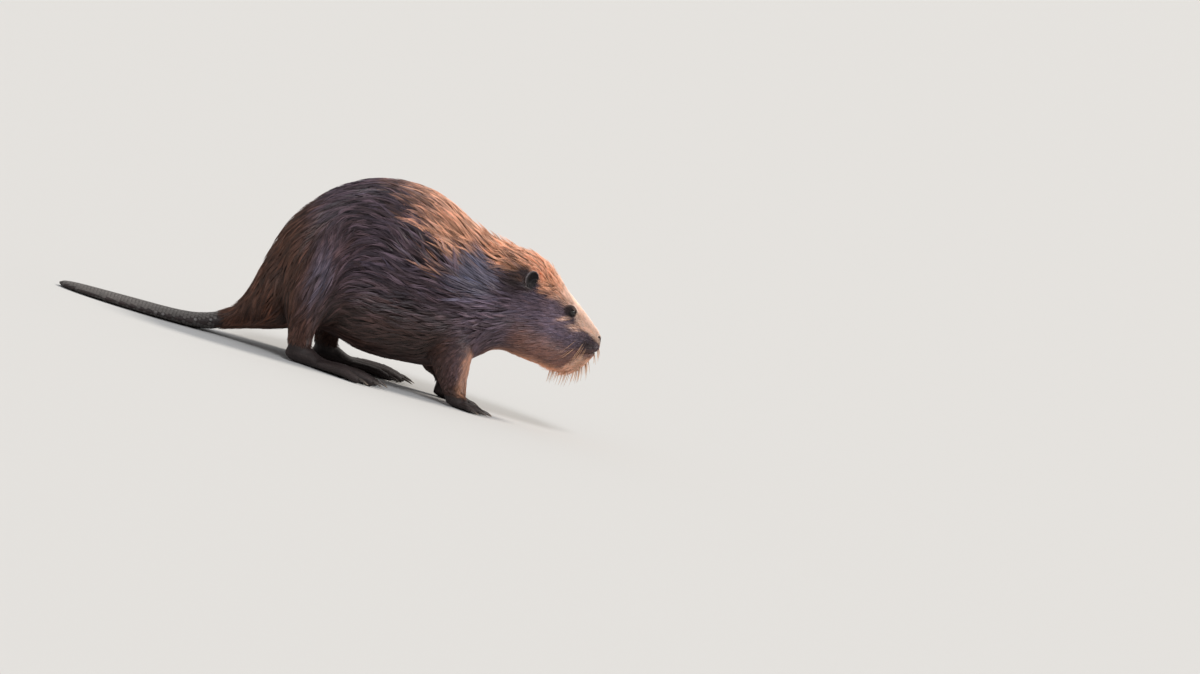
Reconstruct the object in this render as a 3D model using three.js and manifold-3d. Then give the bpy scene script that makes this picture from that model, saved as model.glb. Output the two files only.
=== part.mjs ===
// A beaver at life size, walking: back arched, head held low, flat scaly tail trailing on the ground.
// Millimetres. +X points forward, +Y to the animal's left and +Z up, and the ground is the plane z = 0.
// The solids reach the outside of the coat. The origin ends up under the middle of the whole animal.
import * as THREE from "three";
import { LoftGeometry } from "three/addons/geometries/LoftGeometry.js";
import { mergeVertices } from "three/addons/utils/BufferGeometryUtils.js";
import Module from "manifold-3d";

const wasm = await Module();
wasm.setup();

// ---- driving dimensions ----
const BACK_HEIGHT = 316; // ground to the top of the arched back
const BELLY_CLEARANCE = 38; // ground to the lowest fur of the belly
const HIP_HALF_WIDTH = 120; // the widest section of the trunk
const CHEEK_HALF_WIDTH = 65; // across the jowls
const NOSE_HALF_WIDTH = 24;
const EYE_RADIUS = 6;
const EAR_HEIGHT = 30;
const TAIL_HALF_WIDTH = 59; // the paddle at its broadest
const HIND_FOOT_LENGTH = 150; // heel to the longest toe, without the claw
const FORE_FOOT_LENGTH = 56;
const GAP = 0.3; // clearance between neighbouring pieces
const SOCKET_GAP = 0.35; // the same where a round piece sits in a faceted hollow

const RIGHT = -1;
const LEFT = 1;

// ---- finishes ----
const finish = (color, roughness) => new THREE.MeshStandardMaterial({ color, roughness, metalness: 0 });
const fur = finish(0x5a3f33, 0.75);
const bareSkin = finish(0x2f2627, 0.55);
const tailSkin = finish(0x34302f, 0.6);
const horn = finish(0x33271f, 0.4);
const eyeball = finish(0x120c0a, 0.08);

// ---- solids from geometry ----

// A closed geometry as a solid that can be joined and cut.
function solid(geometry) {
  const bare = new THREE.BufferGeometry().copy(geometry);
  bare.deleteAttribute("normal");
  bare.deleteAttribute("uv");
  const merged = mergeVertices(bare, 1e-4);
  const vertProperties = merged.attributes.position.array;
  const triVerts = new Uint32Array(merged.index.array);
  const made = new wasm.Manifold(new wasm.Mesh({ numProp: 3, vertProperties, triVerts }));
  if (made.volume() > 0) return made;
  // the faces point inwards, so each is turned round
  for (let i = 0; i < triVerts.length; i += 3) {
    const second = triVerts[i + 1];
    triVerts[i + 1] = triVerts[i + 2];
    triVerts[i + 2] = second;
  }
  return new wasm.Manifold(new wasm.Mesh({ numProp: 3, vertProperties, triVerts }));
}

// A solid as a named mesh.
function piece(name, made, material) {
  const { vertProperties, triVerts } = made.getMesh();
  const geometry = new THREE.BufferGeometry();
  geometry.setAttribute("position", new THREE.BufferAttribute(new Float32Array(vertProperties), 3));
  geometry.setIndex(new THREE.BufferAttribute(new Uint32Array(triVerts), 1));
  geometry.computeVertexNormals();
  const mesh = new THREE.Mesh(geometry, material);
  mesh.name = name;
  return mesh;
}

const joined = (solids) => solids.reduce((all, next) => all.add(next));

// A box from its lowest and highest corners.
function block([x0, y0, z0], [x1, y1, z1]) {
  const geometry = new THREE.BoxGeometry(x1 - x0, y1 - y0, z1 - z0);
  geometry.translate((x0 + x1) / 2, (y0 + y1) / 2, (z0 + z1) / 2);
  return solid(geometry);
}

// Half of space, as a thick slab that starts at a point and lies on the side its normal points to.
function beyond([x, z], [nx, nz]) {
  const size = 1200;
  const geometry = new THREE.BoxGeometry(size, size, size);
  geometry.translate(size / 2, 0, 0);
  geometry.rotateY(-Math.atan2(nz, nx));
  geometry.translate(x, 0, z);
  return solid(geometry);
}

// ---- the body: one loft from the root of the tail to the nose ----

// Each station is a cross section that stands between a point of the back line and one of the underside.
// half is its half width, widest says how far up from the underside that width lies, and square is how far
// its corners fill out from an oval.
const h = BACK_HEIGHT;
const b = BELLY_CLEARANCE;
const hip = HIP_HALF_WIDTH;
const cheek = CHEEK_HALF_WIDTH;
const nose = NOSE_HALF_WIDTH;
const bodyStations = [
  { top: [-292, 34], under: [-294, 4], half: 27, widest: 0.5, square: 0.1 }, // inside the root of the paddle
  { top: [-266, 50], under: [-270, 14], half: 33, widest: 0.5, square: 0.1 },
  { top: [-253, 92], under: [-238, b - 12], half: 0.46 * hip, widest: 0.44, square: 0.1 },
  { top: [-241, 0.47 * h], under: [-205, b - 6], half: 0.7 * hip, widest: 0.42, square: 0.1 }, // buttocks
  { top: [-224, 0.65 * h], under: [-170, b + 6], half: 0.88 * hip, widest: 0.42, square: 0.1 },
  { top: [-180, 0.835 * h], under: [-128, b + 17], half: 0.97 * hip, widest: 0.4, square: 0.1 }, // hips
  { top: [-120, 0.96 * h], under: [-85, b + 7], half: hip, widest: 0.42, square: 0.12 },
  { top: [-52, h], under: [-44, b], half: 0.985 * hip, widest: 0.42, square: 0.12 }, // top of the arch
  { top: [10, 0.963 * h], under: [4, b + 2], half: 0.92 * hip, widest: 0.42, square: 0.12 },
  { top: [58, 0.88 * h], under: [50, b + 9], half: 0.82 * hip, widest: 0.44, square: 0.12 }, // shoulders
  { top: [97, 0.838 * h], under: [96, b + 28], half: 0.7 * hip, widest: 0.47, square: 0.12 },
  { top: [130, 0.83 * h], under: [134, b + 58], half: 1.13 * cheek, widest: 0.47, square: 0.15 }, // neck
  { top: [158, 0.82 * h], under: [160, 101], half: 1.05 * cheek, widest: 0.45, square: 0.18 },
  { top: [185, 248], under: [184, 98], half: cheek, widest: 0.43, square: 0.2 }, // jowls
  { top: [210, 230], under: [208, 96], half: 0.92 * cheek, widest: 0.43, square: 0.2 },
  { top: [236, 211], under: [231, 96], half: 0.78 * cheek, widest: 0.44, square: 0.2 }, // eyes
  { top: [259, 193], under: [252, 98], half: 0.63 * cheek, widest: 0.47, square: 0.18 },
  { top: [277, 179], under: [268, 105], half: 1.42 * nose, widest: 0.52, square: 0.16 },
  { top: [288, 169], under: [279, 116], half: 1.18 * nose, widest: 0.56, square: 0.14 }, // lips and nose
  { top: [294, 158], under: [287, 134], half: 0.72 * nose, widest: 0.56, square: 0.1 },
];

// Points round one section: an oval that is widest below its middle.
function bodySection(top, under, { x: half, y: widest, z: square }, around) {
  const fullness = 1 - square;
  const rise = new THREE.Vector2().subVectors(top, under);
  const points = [];
  for (let i = 0; i < around; i++) {
    const angle = (i / around) * 2 * Math.PI;
    const share = angle < Math.PI ? 1 - widest : widest;
    const up = widest + share * Math.sign(Math.sin(angle)) * Math.abs(Math.sin(angle)) ** fullness;
    const across = half * Math.sign(Math.cos(angle)) * Math.abs(Math.cos(angle)) ** fullness;
    points.push(new THREE.Vector3(under.x + rise.x * up, across, under.y + rise.y * up));
  }
  return points;
}

// The body, made larger all round by grow.
function bodyLoft(grow = 0) {
  const rings = 38;
  const around = 20;
  const tops = new THREE.SplineCurve(bodyStations.map((s) => new THREE.Vector2(...s.top)));
  const undersides = new THREE.SplineCurve(bodyStations.map((s) => new THREE.Vector2(...s.under)));
  const shapes = bodyStations.map((s) => new THREE.Vector3(s.half + grow, s.widest, s.square));
  const across = new THREE.CatmullRomCurve3(shapes, false, "catmullrom");
  const sections = [];
  for (let i = 0; i <= rings; i++) {
    const top = tops.getPoint(i / rings);
    const under = undersides.getPoint(i / rings);
    const out = new THREE.Vector2().subVectors(top, under).setLength(grow);
    sections.push(bodySection(top.add(out), under.sub(out), across.getPoint(i / rings), around));
  }
  return new LoftGeometry(sections, { capStart: true, capEnd: true });
}

// ---- limbs ----

// A tapered limb along a curve. Each station gives its centre, its half depth along the limb's own front
// and back, and its half width from side to side.
function limb(stations, { rings = 10, around = 14, grow = 0 } = {}) {
  const path = new THREE.CatmullRomCurve3(stations.map((s) => new THREE.Vector3(...s.at)));
  const sizes = new THREE.SplineCurve(stations.map((s) => new THREE.Vector2(s.deep, s.wide)));
  const sections = [];
  for (let i = 0; i <= rings; i++) {
    const t = i / rings;
    const centre = path.getPoint(t);
    const along = path.getTangent(t);
    const sideways = new THREE.Vector3(0, 1, 0).addScaledVector(along, -along.y).normalize();
    const forward = new THREE.Vector3().crossVectors(sideways, along);
    const size = sizes.getPoint(t);
    const ring = [];
    for (let k = 0; k < around; k++) {
      const angle = (k / around) * 2 * Math.PI;
      ring.push(
        centre
          .clone()
          .addScaledVector(forward, (size.x + grow) * Math.cos(angle))
          .addScaledVector(sideways, (size.y + grow) * Math.sin(angle)),
      );
    }
    sections.push(ring);
  }
  return new LoftGeometry(sections, { capStart: true, capEnd: true });
}

// The same stations on the other side of the body, moved along by shift.
const placed = (stations, side, shift = 0) =>
  stations.map((s) => ({ ...s, at: [s.at[0] + shift, side * s.at[1], s.at[2]] }));

// Thigh and shank, from the hip to the heel, drawn for the left side.
const hindLegStations = [
  { at: [-148, 38, 236], deep: 24, wide: 20 },
  { at: [-156, 60, 200], deep: 46, wide: 40 },
  { at: [-160, 74, 150], deep: 60, wide: 49 },
  { at: [-160, 82, 104], deep: 46, wide: 40 },
  { at: [-157, 87, 68], deep: 29, wide: 27 },
  { at: [-154, 88, 38], deep: 19, wide: 19 },
  { at: [-150, 88, 10], deep: 16, wide: 17 },
];

// Upper arm and forearm, from inside the shoulder to the wrist, drawn for the left side.
const foreLegStations = [
  { at: [66, 44, 170], deep: 40, wide: 36 },
  { at: [68, 52, 130], deep: 46, wide: 40 },
  { at: [73, 56, 92], deep: 39, wide: 31 },
  { at: [83, 57, 58], deep: 30, wide: 23 },
  { at: [96, 56, 29], deep: 20, wide: 17 },
  { at: [104, 55, 8], deep: 15, wide: 15 },
];

// ---- feet ----

// A foot is laid out pointing along +X with its heel at the origin and its sole on the ground.
// Each toe has its spread from straight ahead in degrees, its length as a share of the foot's, and its
// half width.
const hindFoot = {
  length: HIND_FOOT_LENGTH,
  splay: 11,
  toeSpread: [-20, -10, -1, 8, 18],
  toeLength: [0.34, 0.48, 0.52, 0.52, 0.42],
  toeHalf: [6.5, 7.5, 8, 8, 7],
  ballHalf: 27,
  heelHalf: 16,
  ankle: 34,
  claw: { length: 17, half: 3.6, deep: 2.6 },
};
const foreFoot = {
  length: FORE_FOOT_LENGTH,
  splay: 8,
  toeSpread: [-26, -13, -1, 12, 27],
  toeLength: [0.36, 0.52, 0.56, 0.5, 0.34],
  toeHalf: [4.6, 5.2, 5.4, 5.2, 4.6],
  ballHalf: 17,
  heelHalf: 12,
  ankle: 20,
  claw: { length: 15, half: 2.5, deep: 2.7 },
};

// Centre line of one toe: it leaves the ball of the foot, arches at the knuckle and comes down at the tip.
function toeLine(foot, i) {
  const turn = THREE.MathUtils.degToRad(foot.toeSpread[i]);
  const reach = foot.toeLength[i] * foot.length;
  const ball = (1 - Math.max(...foot.toeLength)) * foot.length;
  const start = new THREE.Vector3(ball - 0.1 * reach, foot.ballHalf * 0.92 * (i / 2 - 1), foot.toeHalf[i] + 1);
  const at = (share, lift) =>
    new THREE.Vector3(
      start.x + share * 1.1 * reach * Math.cos(turn),
      start.y + share * 1.1 * reach * Math.sin(turn),
      foot.toeHalf[i] * lift,
    );
  return [at(-0.15, 1.3), at(0.3, 1.5), at(0.66, 1.35), at(0.9, 0.85), at(1, 0.7)];
}

function toeStations(foot, i) {
  const half = foot.toeHalf[i];
  const share = [0.9, 1, 1.02, 0.9, 0.62];
  return toeLine(foot, i).map((p, k) => ({ at: p.toArray(), deep: half * share[k], wide: half * share[k] }));
}

// Skin between the toes of the hind foot, cut back in a shallow curve from toe to toe.
function webGeometry(foot) {
  const tips = foot.toeSpread.map((_, i) => toeLine(foot, i)[3]);
  const outline = new THREE.Shape();
  outline.moveTo(0.3 * foot.length, -foot.heelHalf);
  outline.lineTo(tips[0].x, tips[0].y);
  for (let i = 1; i < tips.length; i++) {
    const middle = new THREE.Vector2((tips[i - 1].x + tips[i].x) / 2, (tips[i - 1].y + tips[i].y) / 2);
    outline.quadraticCurveTo(middle.x - 0.09 * foot.length, middle.y, tips[i].x, tips[i].y);
  }
  outline.lineTo(0.3 * foot.length, foot.heelHalf);
  const geometry = new THREE.ExtrudeGeometry(outline, { depth: 3.2, bevelEnabled: false, curveSegments: 2 });
  geometry.translate(0, 0, 3);
  return geometry;
}

function soleStations(foot) {
  const ball = (1 - Math.max(...foot.toeLength)) * foot.length;
  return [
    { at: [-0.02 * foot.length, 0, 0.3 * foot.ankle], deep: 0.16 * foot.ankle, wide: 0.5 * foot.heelHalf },
    { at: [0.06 * foot.length, 0, 0.42 * foot.ankle], deep: 0.42 * foot.ankle, wide: 0.95 * foot.heelHalf },
    { at: [0.22 * foot.length, 0, 0.4 * foot.ankle], deep: 0.42 * foot.ankle, wide: 1.05 * foot.heelHalf },
    { at: [0.7 * ball, 0, 0.28 * foot.ankle], deep: 0.3 * foot.ankle, wide: 0.85 * foot.ballHalf },
    { at: [ball, 0, 0.22 * foot.ankle], deep: 0.23 * foot.ankle, wide: 1.06 * foot.ballHalf },
    { at: [1.12 * ball, 0, 0.2 * foot.ankle], deep: 0.16 * foot.ankle, wide: 0.9 * foot.ballHalf },
  ];
}

// A claw carries on from its toe and curves down to a point that just clears the ground.
function clawStations(foot, i) {
  const line = toeLine(foot, i);
  const tip = line[4];
  const ahead = new THREE.Vector3().subVectors(tip, line[2]).setZ(0).normalize();
  const { length, half, deep } = foot.claw;
  const at = (share, z) => tip.clone().addScaledVector(ahead, share * length).setZ(z).toArray();
  const top = foot.toeHalf[i];
  return [
    { at: at(-0.35, 1.15 * top), deep: 0.8 * deep, wide: 0.9 * half },
    { at: at(0.2, 1.15 * top), deep, wide: half },
    { at: at(0.65, 0.85 * top), deep: 0.75 * deep, wide: 0.8 * half },
    { at: at(1, 0.5 * top), deep: 0.22 * deep, wide: 0.3 * half },
  ];
}

// Turns a foot laid out along +X to its place under the leg, mirrored for the right side.
function setDown(geometry, foot, side, heel) {
  const copy = new THREE.BufferGeometry().copy(geometry);
  copy.rotateZ(THREE.MathUtils.degToRad(foot.splay));
  copy.scale(1, side, 1);
  copy.translate(heel[0], side * heel[1], 0);
  return solid(copy);
}

// Everything below the level the animal stands on.
const underground = () => block([-900, -400, -60], [600, 400, 0]);

// The largest of the bodies that a cut leaves.
const largest = (made) => made.decompose().sort((p, q) => q.volume() - p.volume())[0];

function footSolids(foot, side, heel, webbed) {
  const set = (geometry) => setDown(geometry, foot, side, heel);
  const toes = foot.toeSpread.map((_, i) => set(limb(toeStations(foot, i), { rings: 4, around: 6 })));
  const sole = set(limb(soleStations(foot), { rings: 5, around: 8 }));
  const parts = [sole, ...toes];
  if (webbed) parts.push(set(webGeometry(foot)));
  return joined(parts).subtract(underground());
}

// The claws of one foot, each clear of its toe.
function claws(name, foot, side, heel) {
  return foot.toeSpread.map((_, i) => {
    const claw = setDown(limb(clawStations(foot, i), { rings: 2, around: 5 }), foot, side, heel);
    const toeRoom = limb(toeStations(foot, i), { rings: 4, around: 6, grow: SOCKET_GAP });
    const toe = setDown(toeRoom, foot, side, heel);
    return piece(`${name}_claw_${i + 1}`, largest(claw.subtract(toe)), horn);
  });
}

// ---- tail ----

// The paddle lies on the ground behind the animal and bends a little to its left.
const tailStations = [
  { at: [-262, 0, 34], thick: 15, half: 27 },
  { at: [-290, 0, 20], thick: 14, half: 32 },
  { at: [-325, 2, 11], thick: 12, half: 0.76 * TAIL_HALF_WIDTH },
  { at: [-370, 6, 8], thick: 10.5, half: 0.95 * TAIL_HALF_WIDTH },
  { at: [-420, 13, 7], thick: 9.5, half: TAIL_HALF_WIDTH },
  { at: [-470, 23, 6], thick: 8.5, half: 0.93 * TAIL_HALF_WIDTH },
  { at: [-508, 33, 5.5], thick: 7.5, half: 0.72 * TAIL_HALF_WIDTH },
  { at: [-532, 40, 5], thick: 6, half: 0.42 * TAIL_HALF_WIDTH },
  { at: [-541, 43, 5], thick: 3.5, half: 0.12 * TAIL_HALF_WIDTH },
];

function tailSolid() {
  const stations = tailStations.map((s) => ({ at: s.at, deep: s.thick, wide: s.half }));
  return solid(limb(stations, { rings: 12, around: 10 })).subtract(underground());
}

// ---- ears and eyes ----

// Where the ear stands and the eye sits on the left side of the head.
const EAR_AT = [163, 60, 224];
const EYE_AT = [237, 37.6, 191];

// A small round cup that opens forwards and outwards.
function earSolid(side) {
  const bowl = new THREE.SphereGeometry(1, 10, 6);
  bowl.scale(0.2 * EAR_HEIGHT, 0.46 * EAR_HEIGHT, 0.56 * EAR_HEIGHT);
  const hollow = new THREE.SphereGeometry(1, 8, 5);
  hollow.scale(0.17 * EAR_HEIGHT, 0.36 * EAR_HEIGHT, 0.45 * EAR_HEIGHT);
  hollow.translate(0.13 * EAR_HEIGHT, 0, 0.02 * EAR_HEIGHT);
  const stand = (geometry) => {
    geometry.rotateZ(THREE.MathUtils.degToRad(52));
    geometry.rotateX(THREE.MathUtils.degToRad(-24));
    geometry.rotateY(THREE.MathUtils.degToRad(-14));
    geometry.translate(EAR_AT[0], EAR_AT[1], EAR_AT[2]);
    geometry.scale(1, side, 1);
    return solid(geometry);
  };
  return stand(bowl).subtract(stand(hollow));
}

function eyeBall(side, radius) {
  const ball = new THREE.SphereGeometry(radius, 10, 7);
  ball.translate(EYE_AT[0], side * EYE_AT[1], EYE_AT[2]);
  return solid(ball);
}

// ---- cuts that part the body ----

// A prism from a closed outline in the side view, from y = near to y = far on one side of the body.
function sidePrism(points, side, near, far, grow) {
  const curve = new THREE.SplineCurve([...points, points[0]].map(([x, z]) => new THREE.Vector2(x, z)));
  const line = curve.getPoints(20).slice(0, -1);
  const centre = line.reduce((sum, p) => sum.add(p), new THREE.Vector2()).divideScalar(line.length);
  const outline = line.map((p) => {
    const out = new THREE.Vector2().subVectors(p, centre);
    return out.setLength(out.length() + grow).add(centre);
  });
  const shape = new THREE.Shape(outline);
  const geometry = new THREE.ExtrudeGeometry(shape, { depth: far - near + grow, bevelEnabled: false });
  geometry.rotateX(Math.PI / 2);
  geometry.scale(1, -side, 1);
  geometry.translate(0, side * (near - grow), 0);
  return solid(geometry);
}

// Seams of the legs in the side view.
const hindSeam = [
  [-116, 20],
  [-100, 100],
  [-104, 170],
  [-138, 216],
  [-180, 214],
  [-207, 176],
  [-206, 110],
  [-188, 20],
];
const foreSeam = [
  [132, 12],
  [118, 70],
  [116, 112],
  [92, 150],
  [54, 152],
  [26, 120],
  [28, 74],
  [64, 12],
];

const sides = [
  // the far pair of legs is set a little out of step, as in a slow walk
  { name: "right", side: RIGHT, hindShift: 0, foreShift: 0 },
  { name: "left", side: LEFT, hindShift: 34, foreShift: -26 },
];
const hindHeel = (shift) => [-166 + shift, 86];
const foreHeel = (shift) => [94 + shift, 54];

const hindLegs = sides.map(({ side, hindShift }) =>
  solid(limb(placed(hindLegStations, side, hindShift), { rings: 9, around: 14 })),
);
const foreLegs = sides.map(({ side, foreShift }) =>
  solid(limb(placed(foreLegStations, side, foreShift), { rings: 8, around: 11 })),
);
const hindFeet = sides.map(({ side, hindShift }) => footSolids(hindFoot, side, hindHeel(hindShift), true));
const foreFeet = sides.map(({ side, foreShift }) => footSolids(foreFoot, side, foreHeel(foreShift), false));
const body = solid(bodyLoft());

const whole = joined([body, tailSolid(), ...hindLegs, ...foreLegs, ...hindFeet, ...foreFeet]);
let rest = whole.subtract(underground());

// Takes what lies in a region off the body and leaves a thin gap to the rest.
function partOff(region, regionGrown) {
  const part = largest(rest.intersect(region));
  rest = rest.subtract(regionGrown);
  return part;
}

// Planes along the body, as distances from its middle, where the legs and feet begin.
const THIGH_INNER = 36;
const HIND_FOOT_INNER = 34;
const ARM_INNER = 20;
const FORE_FOOT_INNER = 16;
const OUTSIDE = 320; // beyond the widest part of the animal

// A low box round one foot, from x0 to x1 and up to the ankle.
function footRegion([x0, x1], top, inner, side, grow) {
  const near = inner - grow;
  const [y0, y1] = side === LEFT ? [near, OUTSIDE] : [-OUTSIDE, -near];
  return block([x0 - grow, y0, -5], [x1 + grow, y1, top + grow]);
}

const meshes = [];
for (const { name, side, hindShift, foreShift } of sides) {
  const shifted = (seam, shift) => seam.map(([x, z]) => [x + shift, z]);
  const hindFootAt = (grow) => footRegion([-220 + hindShift, 30 + hindShift], 32, HIND_FOOT_INNER, side, grow);
  const foreFootAt = (grow) => footRegion([50 + foreShift, 190 + foreShift], 20, FORE_FOOT_INNER, side, grow);
  const hindLegAt = (grow) => sidePrism(shifted(hindSeam, hindShift), side, THIGH_INNER, OUTSIDE, grow);
  const foreLegAt = (grow) => sidePrism(shifted(foreSeam, foreShift), side, ARM_INNER, OUTSIDE, grow);
  meshes.push(
    piece(`hind_foot_${name}`, partOff(hindFootAt(0), hindFootAt(GAP)), bareSkin),
    piece(`fore_foot_${name}`, partOff(foreFootAt(0), foreFootAt(GAP)), bareSkin),
    piece(`hind_leg_${name}`, partOff(hindLegAt(0), hindLegAt(GAP)), fur),
    piece(`fore_leg_${name}`, partOff(foreLegAt(0), foreLegAt(GAP)), fur),
    ...claws(`hind_${name}`, hindFoot, side, hindHeel(hindShift)),
    ...claws(`fore_${name}`, foreFoot, side, foreHeel(foreShift)),
  );
}

// What is left is parted across the spine, from the nose back. Each cut has a point and the way forward.
const spineCuts = [
  { name: "nose", at: [281, 160], ahead: [0.97, 0.24], material: bareSkin },
  { name: "head", at: [150, 180], ahead: [1, 0.12], material: fur },
  { name: "neck", at: [106, 180], ahead: [1, 0.1], material: fur },
  { name: "trunk", at: [-243, 70], ahead: [0.86, 0.5], material: fur },
  { name: "tail_base", at: [-274, 30], ahead: [0.94, 0.34], material: fur },
];
const backward = ({ at: [x, z], ahead: [nx, nz] }, gap) => [
  [x - gap * nx, z - gap * nz],
  [nx, nz],
];
for (const cut of spineCuts) {
  let part = partOff(beyond(...backward(cut, 0)), beyond(...backward(cut, GAP)));
  if (cut.name === "head")
    for (const { side } of sides) part = part.subtract(eyeBall(side, EYE_RADIUS + SOCKET_GAP));
  meshes.push(piece(cut.name, part, cut.material));
}
meshes.push(piece("tail", largest(rest), tailSkin));

const grownBody = solid(bodyLoft(GAP + 0.1));
for (const { name, side } of sides) {
  const ear = largest(earSolid(side).subtract(grownBody));
  meshes.push(piece(`ear_${name}`, ear, fur), piece(`eye_${name}`, eyeBall(side, EYE_RADIUS), eyeball));
}

// ---- the animal, with its origin on the ground under the middle of its box ----
const beaver = new THREE.Group();
beaver.add(...meshes);
const box = new THREE.Box3().setFromObject(beaver);
const centre = box.getCenter(new THREE.Vector3());
beaver.position.set(-centre.x, -centre.y, -box.min.z);
beaver.updateMatrixWorld(true);

export default beaver;
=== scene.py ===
# %% [markdown]
# # A beaver at life size
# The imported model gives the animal's pieces as plain solids at their real size. They reach the outside of
# the coat. This script lays one smooth skin inside them, gives it a face, and covers it with a coat of
# separate locks of hair, each a thin closed mesh. The animal stands on level ground, nose towards +X.

# %% Load the frame
import math
from contextlib import contextmanager

import bpy
import numpy as np
from mathutils import Matrix, Vector, kdtree
from mathutils.bvhtree import BVHTree


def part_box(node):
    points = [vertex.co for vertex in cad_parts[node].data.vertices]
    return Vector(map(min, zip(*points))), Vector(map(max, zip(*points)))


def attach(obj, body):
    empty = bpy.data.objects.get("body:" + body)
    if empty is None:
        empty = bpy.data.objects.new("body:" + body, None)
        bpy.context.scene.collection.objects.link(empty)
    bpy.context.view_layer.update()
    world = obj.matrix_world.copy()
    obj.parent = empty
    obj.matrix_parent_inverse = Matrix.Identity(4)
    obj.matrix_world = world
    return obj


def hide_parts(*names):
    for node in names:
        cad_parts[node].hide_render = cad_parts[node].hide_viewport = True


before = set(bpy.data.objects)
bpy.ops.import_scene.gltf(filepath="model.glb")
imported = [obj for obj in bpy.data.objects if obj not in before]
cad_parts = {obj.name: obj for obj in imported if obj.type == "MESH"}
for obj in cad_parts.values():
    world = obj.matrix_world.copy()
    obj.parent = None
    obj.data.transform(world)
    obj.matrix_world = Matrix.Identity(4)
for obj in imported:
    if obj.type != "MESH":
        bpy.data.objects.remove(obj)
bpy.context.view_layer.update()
rng = np.random.default_rng(7)
print("pieces in the frame:", len(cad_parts))

# %% [markdown]
# ## Where things are
# A maker of a museum model measures the animal in millimetres from its own landmarks. Here x runs forwards
# from the middle of the back, with the front of the nose at 294, y runs to the animal's left from its
# middle plane, and z runs up from the ground. Two small functions turn such a place into the frame's
# metres and back, so that every later number can be read off the animal.

# %% Landmarks in millimetres
NOSE_FRONT = 294.0
MM = 0.001
SIDES = {"right": -1, "left": 1}


def box_middle(node):
    """The middle of a node's box, in the frame's metres."""
    low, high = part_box(node)
    return (np.array(low) + np.array(high)) / 2


middle_plane = (box_middle("eye_left")[1] + box_middle("eye_right")[1]) / 2
ORIGIN = np.array([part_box("nose")[1][0] - NOSE_FRONT * MM, middle_plane, 0.0])


def metres(place):
    """Millimetres on the animal to the frame's metres."""
    return ORIGIN + np.asarray(place, float) * MM


def millimetres(points):
    """The frame's metres to millimetres on the animal."""
    return (np.asarray(points, float) - ORIGIN) / MM


EYE = {side: millimetres(box_middle("eye_" + side)) for side in SIDES}
EAR = {side: millimetres(box_middle("ear_" + side)) for side in SIDES}
EYE_RADIUS = 6.0
print("eyes at", {side: place.round(1) for side, place in EYE.items()})

# %% [markdown]
# ## The view
# The animal walks down a bank that falls towards its nose. The model could be tilted to match, but it
# stands on level ground, so the camera is rolled by the slope of the bank instead, and the picture slopes
# as the bank does. A long lens from far away shows the animal's side with next to no perspective, and the
# animal stays left of the middle.

# %% The camera
BANK_SLOPE = math.radians(16.5)
LOOKING_DOWN = math.radians(4.0)
PICTURE_WIDTH = 1.86
PICTURE_MIDDLE = (289.0, 0.0, 164.8)
LENS = 300.0
SENSOR = 36.0
FARTHEST_SEEN = 400.0


def in_scene(name, data):
    """A new object in the scene for a mesh, a lamp or a camera."""
    made = bpy.data.objects.new(name, data)
    bpy.context.scene.collection.objects.link(made)
    return made


def place_camera():
    """A camera on the animal's right, rolled by the slope of the bank."""
    data = bpy.data.cameras.new("camera")
    data.lens = LENS
    data.sensor_width = SENSOR
    data.clip_end = FARTHEST_SEEN
    back = Vector((0, -math.cos(LOOKING_DOWN), math.sin(LOOKING_DOWN)))
    level_right = Vector((1, 0, 0))
    level_up = back.cross(level_right)
    right = level_right * math.cos(BANK_SLOPE) + level_up * math.sin(BANK_SLOPE)
    up = back.cross(right)
    away = PICTURE_WIDTH * LENS / SENSOR
    facing = Matrix((right, up, back)).transposed().to_4x4()
    camera = in_scene("camera", data)
    camera.matrix_world = Matrix.Translation(Vector(metres(PICTURE_MIDDLE)) + back * away) @ facing
    bpy.context.scene.camera = camera
    return away


print("the camera stands", round(place_camera(), 2), "m away")

# %% [markdown]
# ## Floor and light
# A studio has a pale floor, a large warm lamp high in front of the animal, a weaker and cooler one high
# over its right side, and light from all round. Area lamps would do near the animal, but they would leave
# the far floor dark, so both lamps are suns with a wide angle, which light the whole floor evenly. The
# wall has the shade of the lit floor, so that no line shows where they meet.

# %% The floor
FLOOR_SIZE = 300.0
FLOOR_COLOUR = (0.585, 0.575, 0.555, 1)


def new_material(name, roughness):
    """A material, its node tree and its main shader."""
    material = bpy.data.materials.new(name)
    material.use_nodes = True
    shader = material.node_tree.nodes["Principled BSDF"]
    shader.inputs["Roughness"].default_value = roughness
    return material, material.node_tree, shader


bpy.ops.mesh.primitive_plane_add(size=FLOOR_SIZE, location=(0, 0, 0))
floor = bpy.context.object
floor.name = "floor"
floor_paint, _, floor_shader = new_material("pale floor", 0.9)
floor_shader.inputs["Base Color"].default_value = FLOOR_COLOUR
floor.data.materials.append(floor_paint)
print("a floor", FLOOR_SIZE, "m wide")

# %% The lamps and the wall
WARM, COOL = (1.0, 0.95, 0.88), (0.92, 0.95, 1.0)
AMBIENT_COLOUR, AMBIENT_STRENGTH = (0.93, 0.95, 1.0, 1), 0.42
WALL_COLOUR = (0.772, 0.754, 0.722, 1)


def soft_sun(name, towards, strength, angle, colour):
    """A sun that shines from a direction, with soft shadows."""
    data = bpy.data.lights.new(name, "SUN")
    data.energy = strength
    data.angle = math.radians(angle)
    data.color = colour
    in_scene(name, data).rotation_euler = Vector(towards).to_track_quat("Z", "Y").to_euler()


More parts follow.
